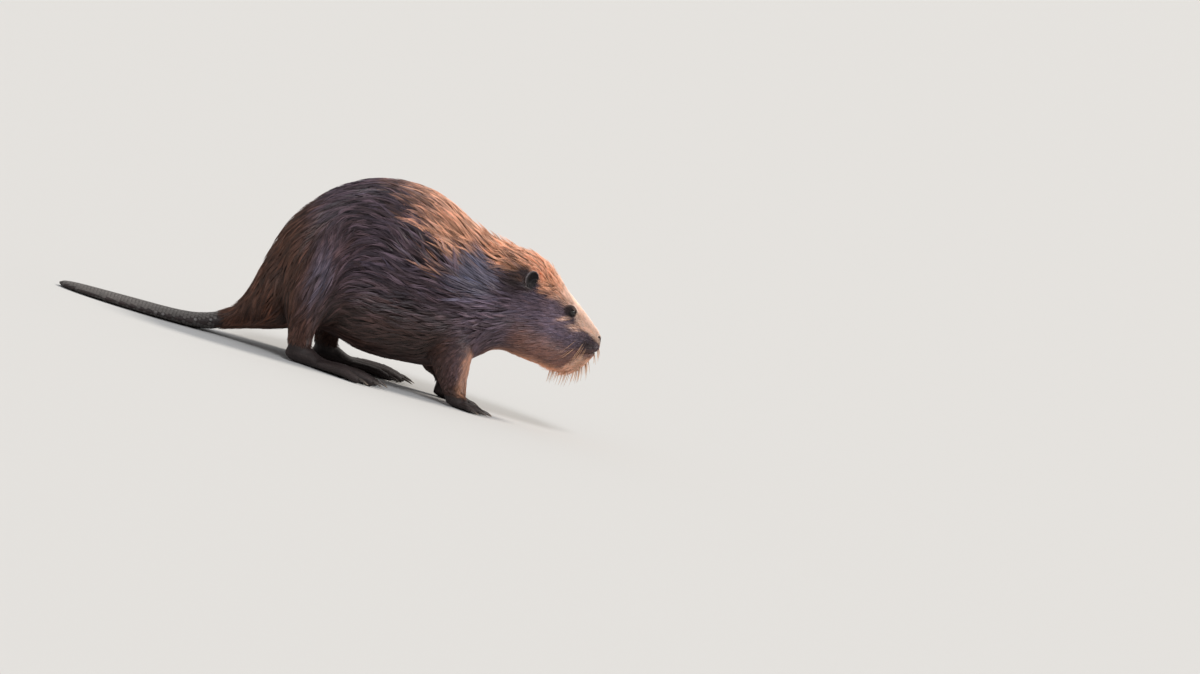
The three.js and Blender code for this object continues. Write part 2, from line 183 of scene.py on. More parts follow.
def studio_world():
    """Soft light from all round, behind a pale wall that only the eye, mirrors and glass see."""
    world = bpy.data.worlds.new("studio")
    world.use_nodes = True
    tree = world.node_tree
    light = tree.nodes["Background"]
    light.inputs["Color"].default_value = AMBIENT_COLOUR
    light.inputs["Strength"].default_value = AMBIENT_STRENGTH
    wall = tree.nodes.new("ShaderNodeBackground")
    wall.inputs["Color"].default_value = WALL_COLOUR
    rays = tree.nodes.new("ShaderNodeLightPath")
    seen = rays.outputs["Is Camera Ray"]
    for other in ("Is Glossy Ray", "Is Transmission Ray"):
        either = tree.nodes.new("ShaderNodeMath")
        either.operation = "MAXIMUM"
        tree.links.new(seen, either.inputs[0])
        tree.links.new(rays.outputs[other], either.inputs[1])
        seen = either.outputs[0]
    chosen = tree.nodes.new("ShaderNodeMixShader")
    tree.links.new(seen, chosen.inputs["Fac"])
    tree.links.new(light.outputs[0], chosen.inputs[1])
    tree.links.new(wall.outputs[0], chosen.inputs[2])
    tree.links.new(chosen.outputs[0], tree.nodes["World Output"].inputs["Surface"])
    return world


soft_sun("key", (0.66, 0.20, 0.72), 2.6, 14, WARM)
soft_sun("fill", (0.12, -0.66, 0.74), 1.35, 20, COOL)
bpy.context.scene.world = studio_world()
bpy.context.scene.view_settings.view_transform = "Standard"

# %% [markdown]
# ## One skin for all the flesh
# A real animal has one skin, with no seam where a leg meets the body. Joining the solids with booleans
# would leave sharp creases and thin slivers. So the solids are copied, swollen a little so that the thin
# gaps between them close, and joined. A voxel remesh turns them into one closed surface of small even
# faces, and a smoothing pass, weaker on the toes, ears and nose, takes the flat facets away.

# %% Tools for objects
def select(*pieces):
    """Leaves only these objects selected, the first of them active."""
    bpy.ops.object.select_all(action="DESELECT")
    for piece in pieces:
        piece.select_set(True)
    bpy.context.view_layer.objects.active = pieces[0]


@contextmanager
def editing(piece, everything=True):
    """Edit mode on one object, with its whole mesh selected unless told otherwise."""
    select(piece)
    bpy.ops.object.mode_set(mode="EDIT")
    if everything:
        bpy.ops.mesh.select_all(action="SELECT")
    yield
    bpy.ops.object.mode_set(mode="OBJECT")


def merged_copy(node, distance=0.01 * MM):
    """A copy of a plain solid, with the doubled corners of its loose triangles merged."""
    part = in_scene("copy_of_" + node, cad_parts[node].data.copy())
    part.data.materials.clear()
    with editing(part):
        bpy.ops.mesh.remove_doubles(threshold=distance)
    return part


def joined(parts, name):
    """Some objects joined into the first of them, under a new name."""
    select(*parts)
    bpy.ops.object.join()
    parts[0].name = name
    return parts[0]


def apply_modifier(piece, kind, **settings):
    """Adds a modifier with its settings and applies it."""
    select(piece)
    modifier = piece.modifiers.new(kind.lower(), kind)
    for key, value in settings.items():
        setattr(modifier, key, value)
    bpy.ops.object.modifier_apply(modifier=modifier.name)


print("objects selected before the first tool is used:", len(bpy.context.selected_objects))


# %% Tools for meshes
def read(items, what, width, kind=np.float32):
    """One property of all the vertices, edges or faces of a mesh, a row for each."""
    flat = np.empty(len(items) * width, kind)
    items.foreach_get(what, flat)
    return flat.reshape(-1, width)


def points_of(mesh):
    """Where a mesh's vertices are, in metres."""
    return read(mesh.vertices, "co", 3).astype(float)


def normals_of(mesh):
    """The outward directions at a mesh's vertices."""
    return read(mesh.vertex_normals, "vector", 3).astype(float)


def edges_of(mesh):
    """A mesh's edges as pairs of vertex numbers."""
    return read(mesh.edges, "vertices", 2, np.int32)


def move_points(mesh, points):
    """Puts a mesh's vertices at new places."""
    mesh.vertices.foreach_set("co", np.asarray(points, np.float32).ravel())
    mesh.update()


print("corners of the plain trunk:", len(points_of(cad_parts["trunk"].data)))

# %% Copies of the solids, joined
BODY_PIECES = ["trunk", "neck", "head", "nose", "tail_base", "tail"]
SIDE_PIECES = ["hind_leg", "fore_leg", "hind_foot", "fore_foot", "ear"]
FLESH = BODY_PIECES + [f"{piece}_{side}" for piece in SIDE_PIECES for side in SIDES]
SWELL = 0.4 * MM
VOXEL = 2.4 * MM


def swollen(node):
    """A copy of one solid, swollen by a hair's breadth."""
    part = merged_copy(node)
    move_points(part.data, points_of(part.data) + normals_of(part.data) * SWELL)
    return part


skin = joined([swollen(node) for node in FLESH], "skin")
skin.data.name = "skin"
apply_modifier(skin, "REMESH", mode="VOXEL", voxel_size=VOXEL, use_smooth_shade=True)
print("skin after the remesh:", len(skin.data.vertices), "vertices")

# %% [markdown]
# ## Which part of the animal a place is on
# The coat is long on the flank and short on the face, and there is none on the feet. The parts could be
# painted by hand as vertex groups, but a paint job is lost when the mesh changes. So each vertex of the
# skin is given the solid it lies nearest to, and each quality of the coat is a number for each part,
# blurred over the skin so that it changes gently from one part to the next.

# %% The nearest solid
def labelled_surface():
    """The flesh solids as one searchable surface, with the index in FLESH of each of its faces."""
    places, faces, labels = [], [], []
    for index, name in enumerate(FLESH):
        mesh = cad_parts[name].data
        start = len(places)
        places.extend(v.co.copy() for v in mesh.vertices)
        for face in mesh.polygons:
            faces.append([start + v for v in face.vertices])
            labels.append(index)
    return BVHTree.FromPolygons(places, faces), np.array(labels)


outline, face_label = labelled_surface()


def labels_at(points):
    """The index in FLESH of the solid nearest to each point."""
    found = [outline.find_nearest(Vector(point))[2] for point in points]
    return face_label[np.array(found)]


def by_piece(labels, default, **values):
    """A number for each vertex by the piece it is on. The names leave out the side."""
    table = np.full(len(FLESH), float(default))
    for index, name in enumerate(FLESH):
        plain = name.removesuffix("_right").removesuffix("_left")
        table[index] = values.get(plain, default)
    return table[labels]


print("faces of the solids:", len(face_label))


# %% Soft changes from place to place
def blurred(values, edges, times):
    """Values at vertices, each averaged with its neighbours' a number of times."""
    values = np.array(values, float)
    columns = values.reshape(len(values), -1)
    ends = np.concatenate([edges[:, 0], edges[:, 1]])
    others = np.concatenate([edges[:, 1], edges[:, 0]])
    counts = np.maximum(np.bincount(ends, minlength=len(columns)), 1)
    for _ in range(times):
        for k in range(columns.shape[1]):
            near = np.bincount(ends, columns[others, k], len(columns)) / counts
            columns[:, k] = 0.5 * columns[:, k] + 0.5 * near
    return columns.reshape(values.shape)


def ramp(values, low, high):
    """0 up to low, 1 from high and a smooth rise between. Where low is above high, it falls."""
    share = np.clip((np.asarray(values, float) - low) / (high - low), 0, 1)
    return share * share * (3 - 2 * share)


def bump(distance, width):
    """1 at no distance, falling smoothly to nothing at about twice the width."""
    return np.exp(-((np.asarray(distance, float) / width) ** 2))


print("half way up a ramp:", ramp(0.5, 0, 1), "and one width from a bump:", bump(1, 1).round(2))

# %% Smooth away the facets
SMOOTHING_PASSES = 60


def smooth_facets(piece):
    """Relaxes the surface: strongly on the body, weakly on the toes, ears and nose."""
    mesh = piece.data
    edges = edges_of(mesh)
    strength = by_piece(
        labels_at(points_of(mesh)), 1.0,
        hind_foot=0.10, fore_foot=0.08, ear=0.10, nose=0.25, tail=0.35, head=0.8,
    )
    strength = blurred(strength, edges, 6)[:, None]
    points = points_of(mesh)
    for _ in range(SMOOTHING_PASSES):
        points = points + strength * (blurred(points, edges, 1) - points)
    move_points(mesh, points)


smooth_facets(skin)
print("skin smoothed", SMOOTHING_PASSES, "times")

# %% Fewer faces under the long coat
KEPT_SHARE = 0.30


def thin_out(piece, kept_share):
    """Merges faces on the body, where long hair hides the skin, and keeps those of the head and feet."""
    mesh = piece.data
    weights = by_piece(
        labels_at(points_of(mesh)), 1.0,
        hind_foot=0.0, fore_foot=0.0, ear=0.0, nose=0.0, head=0.1,
    )
    group = piece.vertex_groups.new(name="long_coat")
    for level in np.unique(weights):
        group.add(np.flatnonzero(weights == level).tolist(), float(level), "REPLACE")
    apply_modifier(
        piece, "DECIMATE", ratio=kept_share, vertex_group="long_coat", vertex_group_factor=10.0,
    )
    piece.vertex_groups.clear()


thin_out(skin, KEPT_SHARE)
print("skin thinned to", len(skin.data.polygons), "faces")

# %% [markdown]
# ## Finer faces where there is detail
# Eyelids, nostrils and lips are too fine for the faces of the remesh. A finer remesh of the whole animal
# would cost millions of faces, so only the faces near them are selected by their place and cut in four:
# once for the ears, twice for the muzzle, and three times round the eyes and the nostrils.

# %% Subdivide by place
NOSTRIL_AREA = [(291.0, side * 12.0, 165.0) for side in SIDES.values()]
CHIN_HEIGHT = 112.0
EAR_REACH, FINEST_REACH = 20.0, 8.0


def centres_of(mesh):
    """The middles of a mesh's faces, in millimetres on the animal."""
    return millimetres(read(mesh.polygons, "center", 3))


def divide_where(piece, chosen):
    """Cuts each chosen face in four."""
    mesh = piece.data
    for kind in (mesh.vertices, mesh.edges):
        kind.foreach_set("select", np.zeros(len(kind), bool))
    mesh.polygons.foreach_set("select", chosen)
    with editing(piece, everything=False):
        bpy.ops.mesh.select_mode(type="FACE")
        bpy.ops.mesh.subdivide(number_cuts=1)


def distance_to(places, spots, mirrored=False):
    """The distance from each place to the nearest of some spots."""
    spots = [np.asarray(spot, float) for spot in spots]
    if mirrored:
        spots += [spot * (1, -1, 1) for spot in spots]
    return np.min([np.linalg.norm(places - spot, axis=1) for spot in spots], axis=0)


def near_eyes_and_lips(places, eye_reach, muzzle_start):
    """True for places round the eyes and on the muzzle."""
    muzzle = (places[:, 0] > muzzle_start) & (places[:, 2] > CHIN_HEIGHT)
    return muzzle | (distance_to(places, EYE.values()) < eye_reach)


divide_where(skin, distance_to(centres_of(skin.data), EAR.values()) < EAR_REACH)
divide_where(skin, near_eyes_and_lips(centres_of(skin.data), eye_reach=17, muzzle_start=258))
divide_where(skin, near_eyes_and_lips(centres_of(skin.data), eye_reach=12, muzzle_start=266))
divide_where(skin, distance_to(centres_of(skin.data), [*EYE.values(), *NOSTRIL_AREA]) < FINEST_REACH)
print("skin with a finer face:", len(skin.data.polygons), "faces")

# %% [markdown]
# ## The coat's depth
# The solids reach the tips of the hair, so the skin lies below them by the depth of the coat: some eight
# millimetres on the back, a few on the face and next to none on the feet and nose. Scaling the skin down
# would move the feet and nose too, so each vertex is moved inwards by its own depth. The ears have no long
# hair, so they are first drawn back onto the thin cups that the solids give.

# %% Thin ears
labels = labels_at(points_of(skin.data))
edges = edges_of(skin.data)


def draw_ears_out(mesh):
    """Puts the ears' vertices back on the thin cups of the solids and rounds them a little."""
    points = points_of(mesh)
    on_ear = by_piece(labels, 0.0, ear=1.0)
    pull = blurred(on_ear, edges, 2)[:, None]
    for _ in range(2):
        found = points.copy()
        for index in np.flatnonzero(pull[:, 0] > 0.2):
            found[index] = outline.find_nearest(Vector(points[index]))[0]
        points = points + pull * (found - points)
        points = points + 0.8 * pull * (blurred(points, edges, 2) - points)
    move_points(mesh, points)


draw_ears_out(skin.data)
print("vertices on the ears:", int(by_piece(labels, 0, ear=1).sum()))

# %% Sink the skin below the coat's tips
THINNER_ON_FACE = 2.6
THINNER_NEAR_GROUND = 2.0
DEEP_COAT = 3.0
coat_depth = by_piece(
    labels, 8.0, neck=7.0, head=4.0, nose=1.0, tail_base=4.0, tail=1.0,
    hind_leg=5.0, fore_leg=3.5, hind_foot=0.0, fore_foot=0.0, ear=0.3,
)
places = millimetres(points_of(skin.data))
coat_depth -= THINNER_ON_FACE * ramp(places[:, 0], 215, 262) * (coat_depth > DEEP_COAT)
coat_depth -= THINNER_NEAR_GROUND * ramp(places[:, 2], 70, 40) * (coat_depth > DEEP_COAT)
coat_depth = blurred(coat_depth, edges, 24)
inwards = -blurred(normals_of(skin.data), edges, 8)
inwards /= np.linalg.norm(inwards, axis=1)[:, None]
move_points(skin.data, points_of(skin.data) + inwards * coat_depth[:, None] * MM)
print("coat depth from", coat_depth.min().round(1), "to", coat_depth.max().round(1), "mm")

# %% [markdown]
# ## Sculpting the body
# Under the coat the thigh is a thick muscle with a fold in front of it and a crease behind it, and the
# elbow has a fold behind it. In sculpt mode each would be a stroke of a brush. Here each is a soft push
# along the skin's normal that fades with distance, which does the same and can be repeated exactly.

# %% Folds of the legs
# How far ahead of the right leg the left one stands, in the step that the animal is taking.
HIND_STEP = {"right": 0.0, "left": 34.0}
FORE_STEP = {"right": 0.0, "left": -26.0}
FOLD_DEPTH, CREASE_DEPTH, ELBOW_DEPTH, MUSCLE_HEIGHT = 6.0, 4.5, 4.0, 4.0


def push(mesh, amounts):
    """Moves each vertex along its normal by so many millimetres."""
    move_points(mesh, points_of(mesh) + normals_of(mesh) * amounts[:, None] * MM)


def thigh_fold(x, z):
    """1 along the curved fold in front of the thigh, fading up the flank."""
    thigh_edge = -104 - 0.0022 * (z - 120) ** 2
    return bump(x - thigh_edge, 9) * ramp(z, 50, 75) * ramp(z, 185, 120)


def haunch_crease(x, z):
    """1 along the crease behind the thigh, from the hip down to the hock."""
    return bump(x - (-179 - 0.34 * (z - 37)), 7) * ramp(z, 34, 54) * ramp(z, 195, 140)


def leg_folds(places):
    """How far each place is pushed out or in by the folds and muscles of the legs."""
    amounts = np.zeros(len(places))
    z = places[:, 2]
    for name, side in SIDES.items():
        outer = ramp(side * places[:, 1], 30, 60)
        hind_x, fore_x = places[:, 0] - HIND_STEP[name], places[:, 0] - FORE_STEP[name]
        thigh = bump(hind_x + 160, 36) * bump(z - 150, 60)
        shoulder = bump(fore_x - 62, 34) * bump(z - 165, 45)
        elbow = bump(fore_x - 40, 8) * ramp(z, 30, 45) * ramp(z, 110, 70)
        pushed_out = MUSCLE_HEIGHT * (thigh + shoulder)
        drawn_in = FOLD_DEPTH * thigh_fold(hind_x, z) + CREASE_DEPTH * haunch_crease(hind_x, z)
        amounts += outer * (pushed_out - drawn_in - ELBOW_DEPTH * elbow)
    return amounts


leg_amounts = leg_folds(millimetres(points_of(skin.data)))
push(skin.data, leg_amounts)
print("legs pushed from", leg_amounts.min().round(1), "to", leg_amounts.max().round(1), "mm")

# %% [markdown]
# ## Sculpting the face
# A beaver's face is a blunt wedge: small eyes set high in rims of bare skin, a nose pad with nostrils that
# open to the sides, a cleft that runs down to the lips, and a lower jaw tucked in under the upper lip. The
# eyelids could be separate rings, but real lids are the skin itself, so the skin is drawn over the ball.

# %% Eyelids
EYE_OPENING = (5.5, 4.6)
EYE_SINK = 0.9
LID_LIFT, LID_ROLL, LID_CREASE = 0.5, 0.7, 0.6
LID_REACH = 16.0
BALL_EDGE = 5.8


def unit(vectors):
    """Vectors at length 1."""
    return vectors / np.maximum(np.linalg.norm(vectors, axis=-1, keepdims=True), 1e-9)


def eye_directions(side):
    """Outwards from the eye, forwards along the lids, and up across them."""
    outward = unit(np.array([0.34, side * 0.86, 0.38]))
    forward = np.array([1.0, 0.0, -0.55])
    forward = unit(forward - outward * (forward @ outward))
    return outward, forward, np.cross(outward, forward) * side


def eye_centre(side_name):
    """The middle of the eyeball, a little deeper than in the plain solids."""
    return EYE[side_name] - eye_directions(SIDES[side_name])[0] * EYE_SINK


def shape_lids(mesh, side_name):
    """Draws the skin over the eyeball into two lids round an oval opening."""
    outward, forward, upward = eye_directions(SIDES[side_name])
    places = millimetres(points_of(mesh))
    from_eye = places - eye_centre(side_name)
    across, up, out = from_eye @ forward, from_eye @ upward, from_eye @ outward
    reach = np.hypot(across, up)
    opening = np.hypot(across / EYE_OPENING[0], up / EYE_OPENING[1])
    near = (reach < LID_REACH) & (out > -9)
    over_ball = np.sqrt(np.maximum((EYE_RADIUS + LID_LIFT) ** 2 - np.minimum(reach, BALL_EDGE) ** 2, 1.0))
    lids = over_ball + LID_ROLL * bump(opening - 1.1, 0.2)
    inside = np.sqrt(np.maximum((EYE_RADIUS - 1.6) ** 2 - reach**2, 0.0)) - 1.0
    target = np.where(opening < 0.92, inside, np.maximum(lids, np.where(opening > 1.5, out, lids)))
    hold = ramp(opening, 3.0, 1.2) * near
    crease = LID_CREASE * bump(opening - 1.6, 0.2) * near * (up > -2)
    move_points(mesh, metres(places + outward * ((target - out) * hold - crease)[:, None]))


for side_name in SIDES:
    shape_lids(skin.data, side_name)
print("lids round both eyes, each opening", 2 * EYE_OPENING[0], "by", 2 * EYE_OPENING[1], "mm")


# %% Landmarks of the face
def on_skin(places):
    """The places on the skin nearest to some places, in millimetres on the animal."""
    surface = BVHTree.FromPolygons(
        [v.co for v in skin.data.vertices], [list(face.vertices) for face in skin.data.polygons]
    )
    return millimetres([surface.find_nearest(Vector(metres(place)))[0] for place in places])


WHISKER_PAD, BROW, UNDER_EYE, NOSE_MIDDLE = on_skin(
    [(281, 24, 151), (236, 37, 204), (245, 43, 178), (296, 0, 163)]
)
NOSTRIL_CORNERS = np.array(
    [(292.5, 6.5, 159.0), (292.0, 9.0, 163.0), (290.5, 12.5, 165.5), (287.0, 16.5, 164.5)]
)
NOSTRIL_STEPS = 13
NOSTRIL = on_skin([
    [np.interp(step, range(4), NOSTRIL_CORNERS[:, k]) for k in range(3)]
    for step in np.linspace(0, 3, NOSTRIL_STEPS)
])
NOSTRIL_WIDTHS = np.linspace(2.5, 1.2, NOSTRIL_STEPS)


def from_nostril(places):
    """How far each place is from the nostril's curved line, where 1 is the nostril's edge."""
    one_side = np.stack([places[:, 0], np.abs(places[:, 1]), places[:, 2]], axis=1)
    return np.min([
        np.linalg.norm(one_side - spot, axis=1) / width for spot, width in zip(NOSTRIL, NOSTRIL_WIDTHS)
    ], axis=0)


def mouth_height(x):
    """The height of the line between the lips, from the corner forwards."""
    return 131.5 + 9.5 * ramp(x, 258, 292)


print("nostrils from", NOSTRIL[0].round(1), "to", NOSTRIL[-1].round(1))


# %% Nose, lips and chin
def face_pushes(places):
    """How far each place of the face is pushed out or in."""
    x, y, z = places[:, 0], np.abs(places[:, 1]), places[:, 2]
    ahead = ramp(x, 262, 274)

    def round_about(spot):
        return bump(distance_to(places, [spot], mirrored=True), 9)

    nostril_rim = bump(from_nostril(places) - 1.8, 0.6) * ramp(z, 159, 164)
    upper_lip = bump(z - mouth_height(x) - 6, 5) * bump(y - 11, 9) * ahead
    lower_lip = bump(z - mouth_height(x) + 5, 3.5) * ramp(x, 266, 276)
    swelling = 1.0 * nostril_rim + 1.8 * round_about(WHISKER_PAD) + 1.6 * round_about(BROW)
    swelling += 1.6 * upper_lip + 0.8 * lower_lip
    between_nostrils = bump(y, 3.0) * bump(z - 166, 7) * ahead
    cleft = bump(y, 1.3) * ramp(z, 141, 146) * ramp(z, 160, 154) * ahead
    lip_line = bump(z - mouth_height(x), 1.5) * ramp(x, 257, 264)
    hollow = 0.8 * between_nostrils + 1.4 * cleft + 2.2 * lip_line + 1.0 * round_about(UNDER_EYE)
    return swelling - hollow


face_amounts = face_pushes(millimetres(points_of(skin.data)))
push(skin.data, face_amounts)
print("face pushed from", face_amounts.min().round(1), "to", face_amounts.max().round(1), "mm")

# %% Nostrils and soles
NOSTRIL_DEPTH = 3.6
GROUND_GAP = 0.2 * MM


def open_nostrils(mesh):
    """Draws the nostrils inwards, all in one direction, so that their walls stay clean."""
    places = millimetres(points_of(mesh))
    inwards = np.stack([
        np.full(len(places), -0.55), -0.8 * np.sign(places[:, 1]), np.zeros(len(places)),
    ], axis=1)
    depth = NOSTRIL_DEPTH * ramp(from_nostril(places), 1.2, 0.6)
    move_points(mesh, metres(places + inwards * depth[:, None]))


def flatten_soles(mesh):
    """Lays what would reach below the ground flat on it."""
    points = points_of(mesh)
    points[:, 2] = np.maximum(points[:, 2], GROUND_GAP)
    move_points(mesh, points)


nostril_reach = from_nostril(millimetres(points_of(skin.data)))
open_nostrils(skin.data)
flatten_soles(skin.data)
print("nostrils opened over", int((nostril_reach < 1).sum()), "vertices")

# %% [markdown]
# ## A map of the skin
# A map lays the skin out flat, as a furrier lays a pelt, so that every place on it has a place in a picture.
# Seams could be marked by hand, but nobody sees them under the hair, so the skin is cut into patches that
# each face much the same way. Each lock of hair later takes the place of its root on that map.

# %% Unwrap the skin
MAP = "OFBake"
with editing(skin):
    bpy.ops.uv.smart_project(angle_limit=math.radians(70), island_margin=0.004, area_weight=0.0)
skin.data.uv_layers.active.name = MAP
print("skin unwrapped on", [layer.name for layer in skin.data.uv_layers])

# %% [markdown]
# ## The lie of the coat
# Hair grows from the nose backwards. On the back it follows the back's own curve, on the shoulder and jaw
# it sinks as it goes back, on the thigh it turns down over the hip, on the legs it points to the ground,
# and on the ears it runs up to the rim. It could be combed by hand as particle hair, but that is lost when
# the skin changes. So the lie of the coat is worked out in the side view, from how far up between belly
# and back a place is, and is then laid flat on the skin there.

# %% How high on the side a place is
BACK_LINE = [
    (-275, 40), (-262, 70), (-249, 110), (-238, 160), (-222, 205), (-180, 262), (-120, 302), (-52, 316),
    (10, 304), (58, 280), (97, 265), (158, 259), (210, 230), (259, 193), (294, 158),
]
BELLY_LINE = [
    (-294, 4), (-238, 26), (-170, 44), (-85, 45), (0, 40),
    (96, 66), (134, 96), (184, 98), (252, 98), (287, 134),
]


def value_at(line, x):
    """The value of a line of (x, value) pairs at x."""
    return np.interp(x, [p[0] for p in line], [p[1] for p in line])


def slope_at(line, x, step=16.0):
    """The slope of a line, taken over a short stretch."""
    return (value_at(line, x + step) - value_at(line, x - step)) / (2 * step)


def share_of_height(places):
    """0 at the belly or jaw and 1 at the back or crown."""
    low, top = value_at(BELLY_LINE, places[:, 0]), value_at(BACK_LINE, places[:, 0])
    return np.clip((places[:, 2] - low) / np.maximum(top - low, 1), 0, 1)


def leg_share(places):
    """How far each place belongs to a leg, whose hair points to the ground."""
    share = np.zeros(len(places))
    for name, side in SIDES.items():
        x, y, z = places[:, 0], side * places[:, 1], places[:, 2]
        over_thigh = bump(x - (-164 + HIND_STEP[name]) - 0.10 * (z - 90), 52)
        hind = 1.2 * over_thigh * ramp(z, 278, 200) * ramp(y, 22, 56)
        fore = bump(x - (84 + FORE_STEP[name]), 38) * ramp(z, 120, 66) * ramp(y, 14, 34)
        share = np.maximum(share, np.maximum(np.minimum(hind, 1), fore))
    return share


print("the back is highest at", max(BACK_LINE, key=lambda p: p[1]))

# %% The direction of the hair
# How far hair sinks for each step it goes back, from tail to nose: near the back, at half height and below.
SINK_ABOVE = [
    (-200, 0.9), (-120, 0.15), (-60, -0.28), (20, -0.50), (80, -0.30), (150, 0.0), (220, 0.18), (280, 0.1),
]
SINK_AT_HALF = [
    (-200, 0.9), (-120, 0.2), (-60, -0.18), (20, -0.08), (80, 0.14), (150, 0.20), (220, 0.28), (280, 0.1),
]
SINK_BELOW = [
    (-200, 0.6), (-120, 0.1), (-60, 0.12), (20, 0.15), (80, 0.7), (150, 0.55), (220, 0.40), (280, 0.2),
]
STEEPEST = 4.0
DOWN_LEG = np.array([-0.22, 0, -1.0])
ALONG_FOOT = np.array([1.0, 0, -0.15])
UP_EAR = np.array([-0.35, 0, 0.9])


def swirl(places):
    """A slow wander of the hair's direction over the body, in radians."""
    x, y, z = places[:, 0], places[:, 1], places[:, 2]
    wide = np.sin(x / 21 + z / 29 + 1.3) * np.cos(z / 15 - x / 37)
    narrow = np.sin(x / 9.5 - z / 12 + y / 30)
    return 0.13 * wide + 0.08 * narrow


def mixed(values, other, share):
    """Colours or directions moved towards another by a share at each place."""
    return values * (1 - share[:, None]) + other * share[:, None]


def lie_of_coat(places, normals):
    """The direction in which the hair lies at each place on the skin."""
    x, z = places[:, 0], places[:, 2]
    share = share_of_height(places)
    sink = value_at(SINK_BELOW, x)
    sink += (value_at(SINK_AT_HALF, x) - sink) * ramp(share, 0.05, 0.50)
    sink += (value_at(SINK_ABOVE, x) - sink) * ramp(share, 0.50, 0.76)
    along_outline = np.maximum(ramp(share, 0.84, 0.97), ramp(x, -205, -235))
    sink += (slope_at(BACK_LINE, x) - sink) * along_outline
    lie = unit(np.stack([-np.ones(len(x)), np.zeros(len(x)), -np.clip(sink, -STEEPEST, STEEPEST)], axis=1))
    lie = mixed(lie, DOWN_LEG, leg_share(places))
    lie = mixed(lie, ALONG_FOOT, ramp(z, 30, 20) * ramp(x, -200, -190))
    for name in SIDES:
        lie = mixed(lie, UP_EAR, bump(np.linalg.norm(places - EAR[name], axis=1), 15))
    away_from_nose = unit(places - NOSE_MIDDLE)
    lie = lie + 0.8 * ramp(x, 268, 286)[:, None] * away_from_nose
    return unit(lie - normals * np.sum(lie * normals, axis=1)[:, None])


flank = np.array([[0.0, -110.0, 180.0]])
print("on the flank the hair lies along", lie_of_coat(flank, np.array([[0.0, -1.0, 0.0]])).round(2))

# %% [markdown]
# ## Length, width and density
# Long, coarse guard hairs cover the back and flanks, where the damp has drawn them together in pointed
# locks. The face and legs have short fine hair. One setting for the whole animal would make a toy of it,
# so each quality is a number for each part, and then at every vertex of the skin.

# %% The coat, part by part
QUALITIES = ("length", "lift", "width", "clump", "density", "stray")
# Length, lift and width in millimetres, clump 0 to 1, density as a ratio, stray in degrees.
COAT_OF = {
    "trunk": (46.0, 7.5, 1.30, 0.90, 1.0, 9.0),
    "neck": (34.0, 6.5, 1.15, 0.85, 1.2, 8.0),
    "head": (21.0, 3.8, 0.85, 0.08, 2.2, 4.0),
    "nose": (12.0, 2.2, 0.60, 0.00, 3.0, 4.0),
    "tail_base": (22.0, 4.0, 1.00, 0.50, 1.2, 6.0),
    "tail": (4.0, 0.6, 0.50, 0.00, 0.0, 4.0),
    "hind_leg": (30.0, 4.4, 1.10, 0.55, 1.2, 4.0),
    "fore_leg": (17.0, 3.0, 0.85, 0.35, 1.8, 5.0),
    "hind_foot": (4.0, 0.4, 0.50, 0.00, 0.0, 3.0),
    "fore_foot": (4.0, 0.4, 0.50, 0.00, 0.0, 3.0),
    "ear": (4.0, 0.8, 0.50, 0.00, 3.0, 8.0),
}
skin_places = millimetres(points_of(skin.data))
skin_normals = normals_of(skin.data)
labels = labels_at(points_of(skin.data))
edges = edges_of(skin.data)


def blended(times, **values):
    """One quality of the coat at each vertex of the skin, blurred from part to part."""
    return blurred(by_piece(labels, 0.0, **values), edges, times)


coat = {
    quality: blended(20, **{part: values[column] for part, values in COAT_OF.items()})
    for column, quality in enumerate(QUALITIES)
}
print("longest hair", coat["length"].max().round(1), "mm, highest lift", coat["lift"].max().round(1), "mm")

# %% Shorter, smoother or ruffled in places
height_share = share_of_height(skin_places)
muzzle_share = ramp(skin_places[:, 0], 178, 262)
crown = ramp(skin_places[:, 0], 70, 120) * ramp(skin_places[:, 0], 232, 200) * ramp(height_share, 0.70, 0.92)
chin = ramp(skin_places[:, 0], 215, 245) * ramp(skin_places[:, 2], 118, 104)
low_on_leg = ramp(skin_places[:, 2], 105, 45) * leg_share(skin_places)
by_eye = ramp(distance_to(skin_places, [eye_centre(name) for name in SIDES]), 20, 10)
by_ear = ramp(distance_to(skin_places, [EAR[name] + (9, 0, -2) for name in SIDES]), 27, 17)


def smooth_patch(places):
    """The patch of flat hair on the shoulder, where the moving arm keeps it smooth."""
    reach = np.hypot((places[:, 0] - 98) / 1.1, places[:, 2] - 204)
    return ramp(reach, 38, 20) * ramp(np.abs(places[:, 1]), 20, 40)


on_patch = smooth_patch(skin_places)
coat["length"] *= (1 - 0.66 * muzzle_share * (1 - 0.35 * chin)) * (1 - 0.5 * low_on_leg)
coat["length"] *= (1 - 0.45 * by_eye) * (1 - 0.70 * by_ear)
coat["lift"] = coat["lift"] * (1 - 0.5 * muzzle_share) + 2.2 * crown + 1.5 * chin
coat["lift"] *= (1 - 0.5 * by_eye) * (1 - 0.75 * by_ear)
coat["width"] *= 1 - 0.40 * muzzle_share
coat["clump"] = coat["clump"] * (1 - crown) + 0.80 * crown
coat["clump"] *= (1 - 0.85 * on_patch) * (1 - by_ear)
coat["stray"] = (coat["stray"] + 7.0 * crown) * (1 - 0.7 * on_patch) * (1 - 0.6 * by_ear)
coat["stand"] = 0.30 * chin + 0.10 * crown
print("after that, hair from", coat["length"].min().round(1), "to", coat["length"].max().round(1), "mm")

# %% [markdown]
# ## Bare skin
# The nose pad, lips, eyelids, the insides of the ears, the feet and the tail have no hair. A painted mask
# would do it too. Here a formula gives 1 where the skin is bare, worked out from the same landmarks that
# shaped it, so that bare skin and shape agree.

